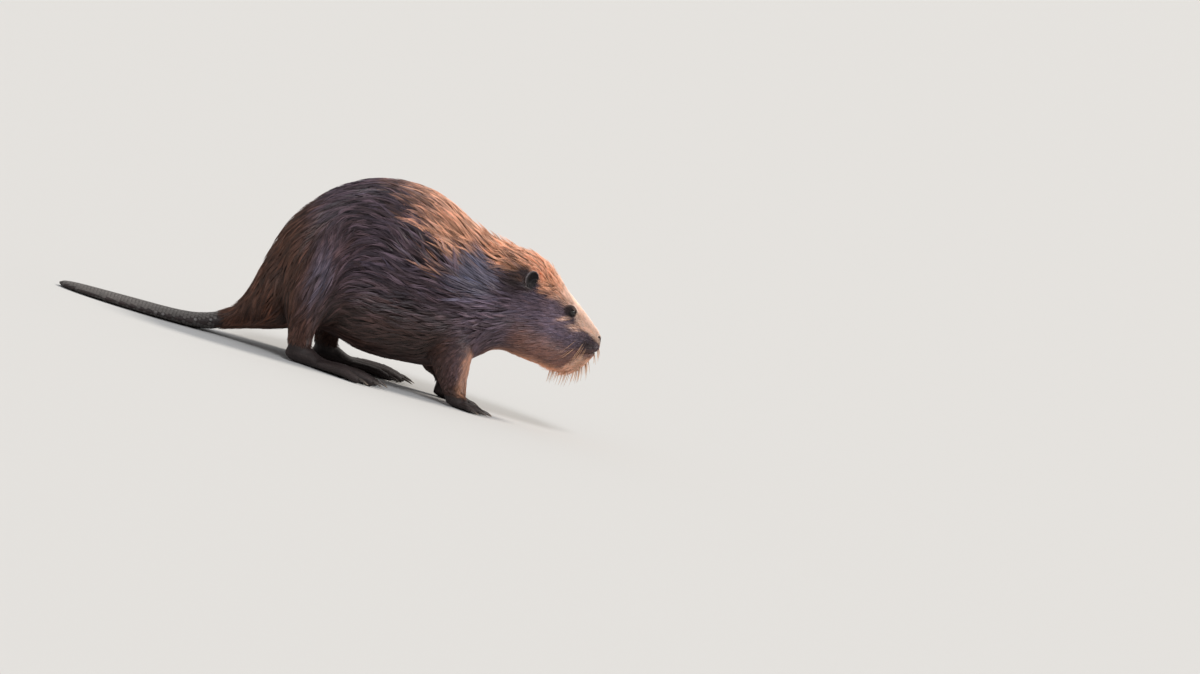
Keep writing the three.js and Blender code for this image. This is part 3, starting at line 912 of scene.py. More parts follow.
# %% Where the skin is bare
# The ear's cup opens forwards and outwards, and rises outwards and a little back.
EAR_OPENS = {name: np.array([0.675, side * 0.720, -0.162]) for name, side in SIDES.items()}
EAR_RISES = {name: np.array([-0.221, side * 0.407, 0.886]) for name, side in SIDES.items()}
EAR_CUP = np.array([163.0, 60.0, 224.0])
EAR_HALF_WIDTH, EAR_HALF_HEIGHT = 13.8, 16.8


def across_ear(places, name):
    """How far out from the middle of the ear's cup each place is, where 1 is the rim."""
    from_middle = places - EAR_CUP * (1, SIDES[name], 1)
    sideways = from_middle @ np.cross(EAR_RISES[name], EAR_OPENS[name]) / EAR_HALF_WIDTH
    reach = np.hypot(sideways, from_middle @ EAR_RISES[name] / EAR_HALF_HEIGHT)
    return reach + 9 * ramp(np.linalg.norm(from_middle, axis=1), 20, 22)


def nose_pad(places):
    """1 or more on the small bare pad between the nostrils and down to the lip."""
    x, y, z = places[:, 0], np.abs(places[:, 1]), places[:, 2]
    narrow_below = 5.0 - 2.0 * ramp(z, 158, 150)
    return 1.3 * bump(y, narrow_below) * ramp(x, 284, 289) * ramp(z, 146, 150) * ramp(z, 171, 166)


def bare_share(places, normals):
    """1 where the skin is bare: nose pad, lips, eyelids, inside the ears, feet and tail."""
    x, z = places[:, 0], places[:, 2]
    lips = 1.3 * bump(z - mouth_height(x), 1.3) * ramp(x, 262, 268)
    hind_feet = ramp(z, 34, 24) * ramp(x, -190, -180) * ramp(x, 100, 60)
    fore_feet = ramp(z, 20, 13) * ramp(x, 40, 50)
    nostrils, tail = ramp(nostril_reach, 2.1, 1.6), blended(4, tail=1.0)
    kinds = [nostrils, nose_pad(places), lips, hind_feet, fore_feet, tail]
    for name in SIDES:
        kinds.append(ramp(np.linalg.norm(places - eye_centre(name), axis=1), 7.6, 6.7))
        faces_ahead = ramp(normals @ EAR_OPENS[name], 0.1, 0.5)
        kinds.append(0.8 * ramp(across_ear(places, name), 1.02, 0.92) * faces_ahead)
    return np.clip(np.max(kinds, axis=0), 0, 1)


bare = bare_share(skin_places, skin_normals)
coat["density"] *= ramp(bare, 0.75, 0.35)
print("share of vertices that are bare:", (bare > 0.5).mean().round(2))

# %% [markdown]
# ## The markings
# A beaver is dark brown, more rust-coloured on the rump and darker round the lips. Light and shade are
# painted into the colour too: painted shade in the folds and round the ears, a painted blue sheen of the sky
# on the flanks, thigh and shoulder and in the grey of the neck and cheeks, and painted sunlight, golden and
# paler to the nose, on the crown, the neck, the bridge of the nose, the chin and the front of the foreleg.
# An image painted for the skin would give the locks of hair nothing. So one function gives the colour at a
# place, and the skin and every lock of hair take theirs from it, so that they agree.

# %% Paints
BROWN = np.array([0.061, 0.034, 0.028])
# A painted blue sheen of the sky, for the upper flanks.
SKY_SHEEN_BROWN = np.array([0.086, 0.062, 0.080])
DARK_BROWN = np.array([0.038, 0.023, 0.021])
SHADOW_BROWN = DARK_BROWN * 0.6
CHESTNUT = np.array([0.094, 0.040, 0.023])
# Gold and pale serve mostly as painted sunlight and painted glare.
GOLD = np.array([0.86, 0.45, 0.265])
PALE = np.array([0.90, 0.67, 0.52])
BUFF = np.array([0.298, 0.148, 0.102])
# Grey-brown fur with the blue of shade under the sky painted in.
ASHEN_SKY_TINT = np.array([0.166, 0.121, 0.149])
# A painted blue sheen of the sky, for the thigh and the shoulder.
SKY_SHEEN_SLATE = np.array([0.162, 0.151, 0.197])


def body_marks(places, share):
    """Painted sky sheen on the flanks, a rust-coloured rump, grey neck and cheeks with painted sky blue, a
    buff jaw.
    """
    x, _, z = places.T
    # Painted blue sheen of the sky, stronger higher up the flank.
    yield SKY_SHEEN_BROWN, 0.75 * ramp(share, 0.16, 0.50) * ramp(x, -190, -140)
    yield DARK_BROWN, 0.10 * ramp(share, 0.30, 0.05) * ramp(x, 120, 60)
    yield CHESTNUT, 0.80 * ramp(x, -150, -215)
    yield CHESTNUT, 0.5 * leg_share(places) * ramp(x, 0, -60)
    # Grey neck and cheeks: partly their own grey, partly the painted blue of shade under the sky.
    yield ASHEN_SKY_TINT, 0.62 * ramp(x, 60, 120) * ramp(share, 0.75, 0.5) * ramp(z, 25, 60)
    yield ASHEN_SKY_TINT, 0.80 * ramp(x, 165, 205) * ramp(share, 0.90, 0.6)
    yield BUFF, 0.80 * ramp(x, 150, 190) * ramp(share, 0.50, 0.25)
    yield BUFF, 0.08 * ramp(x, 50, 80) * ramp(z, 130, 90)


print("paints from", BROWN.max().round(3), "to", PALE.max().round(3))

# %% Painted sunlight on the back, neck, crown and nose
# How far up from belly to back the painted sunlight starts, from the loins to the nose.
SUNLIGHT_STARTS = [
    (-90, 1.0), (-50, 0.87), (-18, 0.80), (15, 0.75), (28, 0.67), (48, 0.64),
    (70, 0.71), (100, 0.80), (122, 0.74), (150, 0.78), (177, 0.82), (190, 0.77),
    (225, 0.85), (236, 0.90), (247, 0.82), (260, 0.75), (273, 0.79), (290, 0.74),
]


def painted_sun_and_flecks(places, share):
    """Painted sunlight down from the top line with a ragged edge, paler to the nose as painted glare, and
    pale flecks under the eye.
    """
    x, _, z = places.T
    mottle = 0.05 * np.sin(x / 7.0 + z / 5.0) + 0.04 * np.sin(x / 3.7 - z / 4.1 + 1.0)
    mottle *= 1 - 0.8 * ramp(x, 165, 215)
    start = value_at(SUNLIGHT_STARTS, x)
    soft_edge = 0.14 - 0.07 * ramp(x, 165, 215)
    golden = ramp(share + mottle, start - 0.04, start + soft_edge) * ramp(x + 300 * mottle, -90, 60)
    streaks = 0.62 + 0.38 * np.sin((z - 0.35 * x) / 0.8)
    under_eye = bump(np.hypot((x - 232) / 7, (z - 180 - 0.5 * (x - 232)) / 3.2), 1)
    before_eye = bump(np.hypot((x - 251) / 9, (z - 170) / 4.5), 1)
    golden = np.maximum(golden, streaks * np.maximum(under_eye, before_eye))
    # Gold is painted sunlight here, and pale is painted glare towards the nose.
    yield GOLD, golden * (0.81 + 0.15 * ramp(x, 60, 130))
    yield PALE, 0.88 * golden * ramp(x, 198, 242)


print("gold reaches lowest at", min(SUNLIGHT_STARTS, key=lambda p: p[1])[0], "mm")


# %% Chin, lips, ears and eyes
def face_marks(places, share):
    """Painted sunlight on the chin, a golden throat, dark lips, painted shade round the ears, and dark hair
    round the eyes.
    """
    x, y, z = places.T
    chin_top = 104 + 27 * ramp(x, 243, 276) + 2.5 * np.sin(x / 2.3) * np.cos(y / 3.0)
    sunlit_chin = ramp(z, chin_top + 6, chin_top - 6)
    # Painted sunlight on the underside and front of the chin, paler to the front.
    yield GOLD, 0.94 * ramp(x, 205, 240) * sunlit_chin
    yield PALE, 0.70 * ramp(x, 240, 268) * sunlit_chin
    yield GOLD, 0.50 * ramp(x, 120, 150) * ramp(share, 0.14, 0.02)
    ragged = 2.6 * np.sin(x / 2.4 + z / 3.6) * np.sin(z / 2.9 - x / 4.3)
    yield DARK_BROWN, 0.92 * bump(np.hypot(x - 279, 1.15 * (z - 150)) + ragged, 15) * ramp(z, 170, 160)
    # Painted shade round and below the ears.
    from_ear = distance_to(places, [EAR[name] - (6, 0, 4) for name in SIDES])
    yield DARK_BROWN, 0.8 * ramp(from_ear, 26, 14) * ramp(share, 0.92, 0.82)
    from_eye = distance_to(places, [eye_centre(name) - (1, 0, -1) for name in SIDES])
    yield SHADOW_BROWN, 0.85 * ramp(from_eye, 11, 8)


print("marks on the face:", len(list(face_marks(skin_places[:1], height_share[:1]))))


# %% Thigh, shoulder and shin
def limb_marks(places, _):
    """Painted sky sheen on the thigh and shoulder, painted shade in the folds, and painted sunlight on the
    foreleg's front.
    """
    x, y, z = places.T
    for name, side in SIDES.items():
        outer = ramp(side * y, 24, 50)
        hind_x, fore_x = x - HIND_STEP[name], x - FORE_STEP[name]
        # Painted blue sheen of the sky on the front of the thigh.
        yield SKY_SHEEN_SLATE, 0.60 * outer * bump(hind_x + 143, 20) * bump(z - 165, 58)
        # Painted shade in the fold in front of the thigh and in the crease behind it.
        yield SHADOW_BROWN, 0.85 * outer * thigh_fold(hind_x, z - 14)
        yield SHADOW_BROWN, 0.60 * outer * haunch_crease(hind_x, z - 12)
        # Painted sunlight along the front edge of the foreleg.
        sunlit_shin = bump(fore_x - 106, 7) * ramp(z, 112, 90) * ramp(z, 14, 24)
        yield GOLD, 0.55 * sunlit_shin * ramp(side * y, 10, 30)
    # Painted blue sheen of the sky on the smooth shoulder patch.
    yield SKY_SHEEN_SLATE, 0.85 * smooth_patch(places)


def coat_colour(places):
    """The colour of the coat at each place, its marks laid one over another."""
    colour = np.repeat(BROWN[None], len(places), axis=0)
    share = share_of_height(places)
    for marks in (body_marks, painted_sun_and_flecks, face_marks, limb_marks):
        for paint, strength in marks(places, share):
            colour = mixed(colour, paint, strength)
    return colour


print("colour on the flank", coat_colour(flank).round(3))

# %% [markdown]
# ## Roots of the hair
# Roots are strewn over the skin in proportion to its area and to the coat's density there. Pure chance
# would leave bald spots and crowds, and a plain grid would show as rows. So they are drawn in even steps
# along the list of the skin's triangles, each step with a little chance.

# %% The skin as arrays of triangles
skin.data.calc_loop_triangles()
corner_vertices = read(skin.data.loop_triangles, "vertices", 3, np.int32)
corner_loops = read(skin.data.loop_triangles, "loops", 3, np.int32)
flat_map = read(skin.data.uv_layers[MAP].data, "uv", 2)
skin_surface = BVHTree.FromPolygons(skin_places.tolist(), corner_vertices.tolist())


def onto_skin(places):
    """The nearest places on the skin, and the skin's normals there."""
    found = [skin_surface.find_nearest(place) for place in places.tolist()]
    near = np.array([hit[0] for hit in found])
    triangle = np.array([hit[2] for hit in found])
    return near, unit(skin_normals[corner_vertices[triangle]].mean(axis=1))


print("triangles that can carry hair:", len(corner_vertices))


# %% Strew roots
def strew(count, chosen):
    """Roots of hair over the chosen vertices: their place, normal, map place and the coat's qualities."""
    corners = skin_places[corner_vertices]
    area = np.linalg.norm(np.cross(corners[:, 1] - corners[:, 0], corners[:, 2] - corners[:, 0]), axis=1) / 2
    weight = area * (coat["density"] * chosen)[corner_vertices].mean(axis=1)
    total = np.cumsum(weight)
    steps = (np.arange(count) + rng.random(count)) / count * total[-1]
    triangle = np.minimum(np.searchsorted(total, steps), len(total) - 1)
    a, b = rng.random(count), rng.random(count)
    over = a + b > 1
    a[over], b[over] = 1 - a[over], 1 - b[over]
    shares = np.stack([1 - a - b, a, b], axis=1)[:, :, None]

    def at_roots(values):
        return (values[corner_vertices[triangle]] * shares).sum(axis=1)

    roots = {name: at_roots(values[:, None])[:, 0] for name, values in coat.items()}
    roots["place"] = at_roots(skin_places)
    roots["normal"] = unit(at_roots(skin_normals))
    roots["map"] = (flat_map[corner_loops[triangle]] * shares).sum(axis=1)
    return roots


LONG_LOCKS, LONG_PIECES = ((58500, 5))
SHORT_LOCKS, SHORT_PIECES = ((56000, 3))
SHORT_BELOW = 17.0
is_short = ramp(coat["length"], SHORT_BELOW + 2, SHORT_BELOW - 2)
print("share of the skin's vertices under short hair:", is_short.mean().round(2))

# %% [markdown]
# ## Locks of hair
# Real hair is far too fine to build one by one, and hair curves would be lost when the model is exported.
# So each lock here is a thin pointed mesh about a millimetre wide: a three-sided blade, closed at the root,
# that rises from the skin and lies back over the next. Wet hair sticks together, so the tips of neighbours
# are drawn towards one shared tip, and each such bunch has its own slight turn, lift and tone.

# %% Bunches
BUNCH_SIZE = 7
BUNCH_STRETCH = 0.62


def turned(vectors, normals, angles):
    """Vectors in the skin's plane turned about its normal."""
    angles = angles[:, None]
    return vectors * np.cos(angles) + np.cross(normals, vectors) * np.sin(angles)


def bunches_of(places):
    """For each root, the number of the root that leads its bunch. A bunch is longer than it is wide."""
    down = leg_share(places)
    backwards, upwards = 1 - BUNCH_STRETCH * (1 - down), 1 - BUNCH_STRETCH * down
    places = places * np.stack([backwards, np.ones(len(places)), upwards], axis=1)
    leaders = rng.choice(len(places), max(len(places) // BUNCH_SIZE, 1), replace=False)
    tree = kdtree.KDTree(len(leaders))
    for leader in leaders.tolist():
        tree.insert(places[leader], leader)
    tree.balance()
    return np.array([tree.find(place)[1] for place in places.tolist()])


print("about", LONG_LOCKS // BUNCH_SIZE, "bunches of long hair")

# %% The course of each lock
CROSSING = 0.08
CROSSING_TURN = 2.4
CROSSING_BEHIND = 130.0
BUNCH_REACH = 13.0
ROOT_DEPTH = 0.5


def courses(roots, steps):
    """The middle line of each lock, its directions and normals, its bunch's leader and its height."""
    count = len(roots["place"])
    leader = bunches_of(roots["place"])
    own_turn = rng.normal(0, 1, count)
    shared_turn = rng.normal(0, 1, count)[leader]
    crosses = (rng.random(count)[leader] < CROSSING) & (roots["place"][:, 0] < CROSSING_BEHIND)
    shared_turn *= np.where(crosses, CROSSING_TURN, 1.0)
    turn = np.radians(roots["stray"]) * (0.5 * own_turn + 1.0 * shared_turn * (roots["clump"] > 0.05))
    length = roots["length"] * (0.75 + 0.45 * rng.random(count)) * (0.80 + 0.4 * rng.random(count)[leader])
    rise = roots["lift"] * (0.72 + 0.30 * rng.random(count)) * (0.62 + 0.52 * rng.random(count)[leader])
    stand = roots["stand"] * length * (0.4 + 2.4 * rng.random(count)[leader] ** 3)
    place, normal = roots["place"], roots["normal"]
    line, directions, normals = [], [], []
    for step in range(steps + 1):
        share = step / steps
        bend = turn + swirl(place) * (roots["clump"] > 0.3)
        direction = turned(lie_of_coat(place, normal), normal, bend)
        above = (rise + ROOT_DEPTH) * np.sin(share * math.pi / 2) ** 0.8 - ROOT_DEPTH + stand * share
        line.append(place + normal * above[:, None])
        directions.append(direction)
        normals.append(normal)
        if step < steps:
            place, normal = onto_skin(place + direction * (length / steps)[:, None])
    line = np.stack(line, axis=1)
    draw_together(line, directions, leader, roots["clump"])
    height = rise / np.maximum(roots["lift"], 0.1)
    return line, np.stack(directions, axis=1), np.stack(normals, axis=1), leader, height


def draw_together(line, directions, leader, clump):
    """Draws each lock towards its bunch's leader, more and more from root to tip."""
    between_roots = line[:, 0] - line[leader, 0]
    in_reach = np.linalg.norm(between_roots, axis=1) <= BUNCH_REACH
    for step in range(1, line.shape[1]):
        pull = (clump * (step / (line.shape[1] - 1)) ** 0.9 * in_reach)[:, None]
        gap = line[leader, step] + 0.12 * between_roots - line[:, step]
        lengthways = directions[step] * np.sum(gap * directions[step], axis=1)[:, None]
        line[:, step] += pull * (gap - 0.75 * lengthways)


print("behind the neck one bunch in", round(1 / CROSSING), "crosses its neighbours")

# %% [markdown]
# ## From lines to meshes
# Blades, bristles and scales are all closed cones of a few rings, and there are thousands of them. Adding
# them one by one would take hours, so their corners are worked out as arrays, and one function makes the
# mesh of them all, with a small place on the skin's map for each and two values that the materials read:
# the "pelt" colour, and "along", which runs from 0 at the root to 1 at the tip.

# %% Many alike in one mesh
MAP_PATCH = 0.003


def store(mesh, name, values):
    """Stores a number or a colour at each vertex of a mesh."""
    values = np.asarray(values, np.float32)
    if values.ndim == 1:
        mesh.attributes.new(name, "FLOAT", "POINT").data.foreach_set("value", values)
    else:
        with_alpha = np.concatenate([values, np.ones((len(values), 1), np.float32)], axis=1)
        mesh.attributes.new(name, "FLOAT_COLOR", "POINT").data.foreach_set("color", with_alpha.ravel())


def many_alike(name, points, faces, map_places, patch, colours, along, facets=False):
    """One object of many small closed pieces with the same faces, smooth or in plain facets."""
    count, corners = points.shape[:2]
    all_faces = (np.array(faces)[None] + (np.arange(count) * corners)[:, None, None]).reshape(-1, 3)
    vertex_map = (map_places[:, None] + patch[None] * MAP_PATCH).reshape(-1, 2)
    mesh = bpy.data.meshes.new(name)
    mesh.vertices.add(count * corners)
    mesh.vertices.foreach_set("co", np.asarray(metres(points), np.float32).ravel())
    mesh.loops.add(all_faces.size)
    mesh.loops.foreach_set("vertex_index", all_faces.astype(np.int32).ravel())
    mesh.polygons.add(len(all_faces))
    mesh.polygons.foreach_set("loop_start", np.arange(0, all_faces.size, 3, dtype=np.int32))
    mesh.update(calc_edges=True)
    if facets:
        mesh.shade_flat()
    else:
        mesh.shade_smooth()
    layer = mesh.uv_layers.new(name=MAP)
    layer.data.foreach_set("uv", vertex_map[all_faces.ravel()].astype(np.float32).ravel())
    store(mesh, "pelt", np.repeat(colours, corners, axis=0))
    store(mesh, "along", np.tile(along, count))
    return in_scene(name, mesh)


def cone_faces(sides, rings):
    """The triangles of a closed cone: its root, the bands between its rings, and its tip."""
    faces = [(corner + 1, corner, 0) for corner in range(1, sides - 1)]
    for ring in range(rings):
        here, there = ring * sides, (ring + 1) * sides
        for a in range(sides):
            b = (a + 1) % sides
            if ring == rings - 1:
                faces.append((here + a, here + b, there))
            else:
                faces += [(here + a, here + b, there + b), (here + a, there + b, there + a)]
    return faces


print("triangles of a long lock:", len(cone_faces(3, 3)), "and of a short one:", len(cone_faces(3, 2)))

# %% The colour of each lock
BRIGHTEST = 0.86


def lock_colours(roots, leader, height):
    """The coat's colour at each root, in the tone of its bunch, and darker the lower a lock lies, as painted
    shade in the coat.
    """
    count = len(leader)
    place = roots["place"]
    contrast = 0.18 + 0.82 * roots["clump"]
    # Most bunches are dark and a few much lighter: a tone that differs at random, whose light bunches also
    # serve as painted glints of wet locks.
    brightness = rng.random(count)[leader]
    bunch_tone = 0.45 + 1.60 * brightness ** 2
    # Locks lying low in the coat are darker: painted shade of the coat's depth.
    tone = (0.82 + 0.36 * rng.random(count)) * (1 + contrast * (bunch_tone - 1)) * (0.40 + 0.75 * height)
    raggedness = (0.14 - 0.08 * ramp(place[:, 0], 90, 150)) * roots["length"]
    strayed = raggedness * rng.normal(0, 1, count)[leader]
    colours = coat_colour(place + strayed[:, None] * (0.5, 0, 1))
    # Bright locks in the painted sunlight are lightened further, except the darkest bunches.
    golden = 0.52 * ramp(colours[:, 0], 0.25, 0.60) * ramp(brightness, 0.28, 0.40)
    tone += (1.17 - tone) * golden
    warmth = 0.045 * rng.normal(0, 1, count)[leader]
    colours *= tone[:, None] * np.stack([1 + warmth, np.ones(count), 1 - warmth], axis=1)
    return colours * np.minimum(BRIGHTEST / colours.max(axis=1), 1)[:, None]


print("no lock is brighter than", BRIGHTEST)

# %% [markdown]
# ## Wet locks in plain facets
# Smooth shading would blend a blade's three sides into a soft round thread, and the coat would look like
# felt. Each blade keeps its plain facets, so that one side catches the light and the other is in shade,
# which gives the crisp glints of damp hair.

# %% The pieces of the coat
BLADE_MAP = np.array([[0.0, 0.0], [0.5, 0.2], [1.0, 0.0]])
BLADE_WIDTHS = {3: (0.60, 1.0, 0.72), 2: (0.8, 0.9)}
ROOT_ALONG = {3: 0.0, 2: 0.15}


def coat_pieces(base_name, roots, rings, pieces):
    """The locks on these roots, shared out between several pieces from tail to nose."""
    line, directions, normals, leader, height = courses(roots, rings)
    count = len(line)
    across = unit(np.cross(normals, directions))
    width = roots["width"] * (0.75 + 0.5 * rng.random(count))
    colours = lock_colours(roots, leader, height)
    points = np.empty((count, rings * 3 + 1, 3))
    for ring, share in enumerate(BLADE_WIDTHS[rings]):
        half = (width * share / 2)[:, None]
        middle = line[:, ring]
        points[:, ring * 3] = middle + across[:, ring] * half
        points[:, ring * 3 + 1] = middle + normals[:, ring] * half * 0.8
        points[:, ring * 3 + 2] = middle - across[:, ring] * half
    points[:, -1] = line[:, -1]
    patch = np.concatenate([BLADE_MAP + (0, 0.27 * ring) for ring in range(rings)] + [[[0.5, 1.0]]]) - 0.5
    root = ROOT_ALONG[rings]
    along = np.append(np.repeat(root + (1 - root) * np.arange(rings) / rings, 3), 1.0)
    order = np.argsort(roots["place"][:, 0], kind="stable")
    return [
        many_alike(
            f"{base_name}_{number + 1}", points[chosen], cone_faces(3, rings), roots["map"][chosen], patch,
            colours[chosen], along, facets=True,
        )
        for number, chosen in enumerate(np.array_split(order, pieces))
    ]


long_coat = coat_pieces("guard_hair", strew(LONG_LOCKS, 1 - is_short), 3, LONG_PIECES)
short_coat = coat_pieces("short_hair", strew(SHORT_LOCKS, is_short), 2, SHORT_PIECES)
for piece in long_coat + short_coat:
    print(piece.name, len(piece.data.polygons), "triangles")

# %% [markdown]
# ## Hair and skin finishes
# A hair is dark at the root and lighter at the tip, and damp hair has a soft gloss. The hair shader is meant
# for hair curves, so a plain shader is used on these meshes. Its colour comes from the marking stored on
# each lock, the root-to-tip change from the "along" value, and a little noise varies the tone. The skin
# under the coat has the same markings, darker, with fine streaks.

# %% Material helpers
def node(tree, kind, **settings):
    """A node with its properties and sockets set by name."""
    made = tree.nodes.new(kind)
    for key, value in settings.items():
        if hasattr(made, key):
            setattr(made, key, value)
        else:
            made.inputs[key.replace("_", " ")].default_value = value
    return made


def stored(tree, name, output="Fac"):
    """Reads a value stored on the mesh."""
    return node(tree, "ShaderNodeAttribute", attribute_name=name).outputs[output]


def pattern(tree, kind, stretch=(1, 1, 1), **settings):
    """A noise or cell pattern fixed to the piece, as if cut from a block."""
    place = node(tree, "ShaderNodeTexCoord")
    mapping = node(tree, "ShaderNodeMapping", Scale=stretch)
    made = node(tree, kind, **settings)
    tree.links.new(place.outputs["Object"], mapping.inputs["Vector"])
    tree.links.new(mapping.outputs["Vector"], made.inputs["Vector"])
    return made


print("materials so far:", [material.name for material in bpy.data.materials if material.users])


# %% Colours, gloss and relief
def multiplied(tree, *colours):
    """Colours multiplied by one another."""
    product = colours[0]
    for other in colours[1:]:
        made = node(tree, "ShaderNodeMix", data_type="RGBA", blend_type="MULTIPLY")
        made.inputs["Factor"].default_value = 1.0
        tree.links.new(product, made.inputs["A"])
        tree.links.new(other, made.inputs["B"])
        product = made.outputs["Result"]
    return product


def ramp_node(tree, source, stops):
    """A colour ramp of (place, grey or colour) stops."""
    made = tree.nodes.new("ShaderNodeValToRGB")
    elements = made.color_ramp.elements
    while len(elements) < len(stops):
        elements.new(0.5)
    for element, (place, colour) in zip(elements, stops):
        element.position = place
        element.color = (colour, colour, colour, 1) if isinstance(colour, float) else (*colour, 1)
    tree.links.new(source, made.inputs["Fac"])
    return made.outputs["Color"]


def gloss(tree, shader, source, **limits):
    """Roughness that follows a source between two limits."""
    made = node(tree, "ShaderNodeMapRange", **limits)
    tree.links.new(source, made.inputs["Value"])
    tree.links.new(made.outputs["Result"], shader.inputs["Roughness"])


def relief(tree, shader, height, strength, distance):
    """Fine bumps under the shader, from a height."""
    bumps = node(tree, "ShaderNodeBump", Strength=strength, Distance=distance)
    tree.links.new(height, bumps.inputs["Height"])
    tree.links.new(bumps.outputs["Normal"], shader.inputs["Normal"])


print("materials still to come: damp hair, skin, eye, horn, bristle and scale")


# %% Damp hair
def hair_material():
    """Damp hair, dark at the root and lighter at the tip, with a painted blue sheen at the tips."""
    material, tree, shader = new_material("damp hair", 0.42)
    patches = pattern(tree, "ShaderNodeTexNoise", Scale=26.0, Detail=3.0).outputs["Fac"]
    # Tips lighter and a little blue: the blue is a painted sheen of wet hair.
    along = ramp_node(tree, stored(tree, "along"), [
        (0.0, (0.28, 0.27, 0.27)), (0.40, (0.86, 0.84, 0.86)), (1.0, (1.22, 1.20, 1.26)),
    ])
    mottle = ramp_node(tree, patches, [(0.3, 0.80), (0.7, 1.20)])
    colour = multiplied(tree, stored(tree, "pelt", "Color"), along, mottle)
    tree.links.new(colour, shader.inputs["Base Color"])
    gloss(tree, shader, patches, From_Min=0.3, From_Max=0.7, To_Min=0.36, To_Max=0.52)
    shader.inputs["Specular IOR Level"].default_value = 0.32
    return material


damp_hair = hair_material()
for piece in long_coat + short_coat:
    piece.data.materials.append(damp_hair)
print(damp_hair.name, "on", damp_hair.users, "pieces")

# %% The colour of the skin
SKIN_DARK = np.array([0.034, 0.024, 0.023])
# Dark skin inside the ear's cup, darkened further as painted shade of the hollow.
EAR_INSIDE_SHADE = np.array([0.010, 0.008, 0.009])
# A painted highlight along the ear's rim.
EAR_RIM_HIGHLIGHT = np.array([0.30, 0.255, 0.26])
NOSE_PAD = np.array([0.20, 0.145, 0.125])
# Near-black painted shade inside the nostrils.
NOSTRIL_SHADE = np.array([0.006, 0.004, 0.004])
LID_DARK = np.array([0.012, 0.009, 0.009])
from_ear = np.min([across_ear(skin_places, name) for name in SIDES], axis=0)
from_eye = distance_to(skin_places, [eye_centre(name) for name in SIDES])
under_hair = (0.62 + 0.2 * muzzle_share)[:, None]
skin_colour = coat_colour(skin_places) * under_hair
for paint, strength in (
    (SKIN_DARK, bare),
    (NOSE_PAD, ramp(nostril_reach, 2.4, 1.8)),
    (NOSE_PAD, np.minimum(nose_pad(skin_places), 1)),
    # Near-black painted shade inside the nostrils.
    (NOSTRIL_SHADE, ramp(nostril_reach, 1.25, 1.0)),
    # Dark skin inside the ear's cup, darkened further as painted shade of the hollow.
    (EAR_INSIDE_SHADE, ramp(bare, 0.3, 0.6) * ramp(from_ear, 1.0, 0.90)),
    # A painted highlight along the ear's rim.
    (EAR_RIM_HIGHLIGHT, 0.9 * bump(from_ear - 0.97, 0.09)),
    (LID_DARK, ramp(from_eye, 7.8, 6.9)),
):
    skin_colour = mixed(skin_colour, paint, strength)
store(skin.data, "pelt", skin_colour)
store(skin.data, "bare", bare)
print("mean colour of the skin's vertices", skin_colour.mean(axis=0).round(3))


# %% Leathery skin
def skin_material():
    """Dark leathery skin where it is bare, and a dark fuzzy ground under the coat."""
    material, tree, shader = new_material("beaver skin", 0.6)
    shader.inputs["Specular IOR Level"].default_value = 0.24
    pebbles = pattern(tree, "ShaderNodeTexVoronoi", Scale=620.0).outputs["Distance"]
    streaks = pattern(tree, "ShaderNodeTexNoise", (0.25, 1.0, 1.6), Scale=90.0, Detail=5.0).outputs["Fac"]
    tint = ramp_node(tree, streaks, [(0.3, 0.65), (0.7, 1.35)])
    grime = ramp_node(tree, pebbles, [(0.15, 1.25), (0.60, 0.70)])
    colour = multiplied(tree, stored(tree, "pelt", "Color"), tint, grime)
    tree.links.new(colour, shader.inputs["Base Color"])
    height = node(tree, "ShaderNodeMix", data_type="FLOAT")
    tree.links.new(stored(tree, "bare"), height.inputs["Factor"])
    tree.links.new(streaks, height.inputs["A"])
    tree.links.new(pebbles, height.inputs["B"])
    relief(tree, shader, height.outputs["Result"], strength=0.5, distance=0.0009)
    gloss(tree, shader, stored(tree, "bare"), To_Min=0.75, To_Max=0.56)
    return material


skin.data.materials.append(skin_material())
print("skin finished with", skin.data.materials[0].name)

# %% [markdown]
# ## Eyes
# A beaver's eye is small, round and almost black, with a clear bulge over the pupil and a wet shine. A
# separate clear shell would be truer, but at this size it would hardly show. So each is one smooth ball in
# the place of the plain solid, with its front pushed out a little and a clear coat over the iris.

# %% Eyeballs
CORNEA_RADIUS = 3.6
CORNEA_BULGE = 0.5
BEHIND_EYE = 9.0


def eyeball(side_name):
    """A smooth eyeball with a clear bulge over the pupil."""
    outward, _, _ = eye_directions(SIDES[side_name])
    centre = eye_centre(side_name)
    bpy.ops.object.select_all(action="DESELECT")
    bpy.ops.mesh.primitive_uv_sphere_add(segments=40, ring_count=28, radius=EYE_RADIUS * MM)
    piece = bpy.context.object
    piece.name = "eyeball_" + side_name
    piece.data.transform(Vector((0, 0, 1)).rotation_difference(Vector(outward)).to_matrix().to_4x4())
    with editing(piece):
        bpy.ops.transform.translate(value=tuple(metres(centre)))
    bpy.ops.object.shade_smooth()
    places = millimetres(points_of(piece.data))
    from_centre = places - centre
    off_axis = np.linalg.norm(from_centre - np.outer(from_centre @ outward, outward), axis=1)
    in_front = from_centre @ outward > 0
    bulge = CORNEA_BULGE * ramp(off_axis, CORNEA_RADIUS, 0) * in_front
    move_points(piece.data, metres(places + outward * bulge[:, None]))
    store(piece.data, "off_axis", np.where(in_front, off_axis, BEHIND_EYE) / EYE_RADIUS)
    return piece


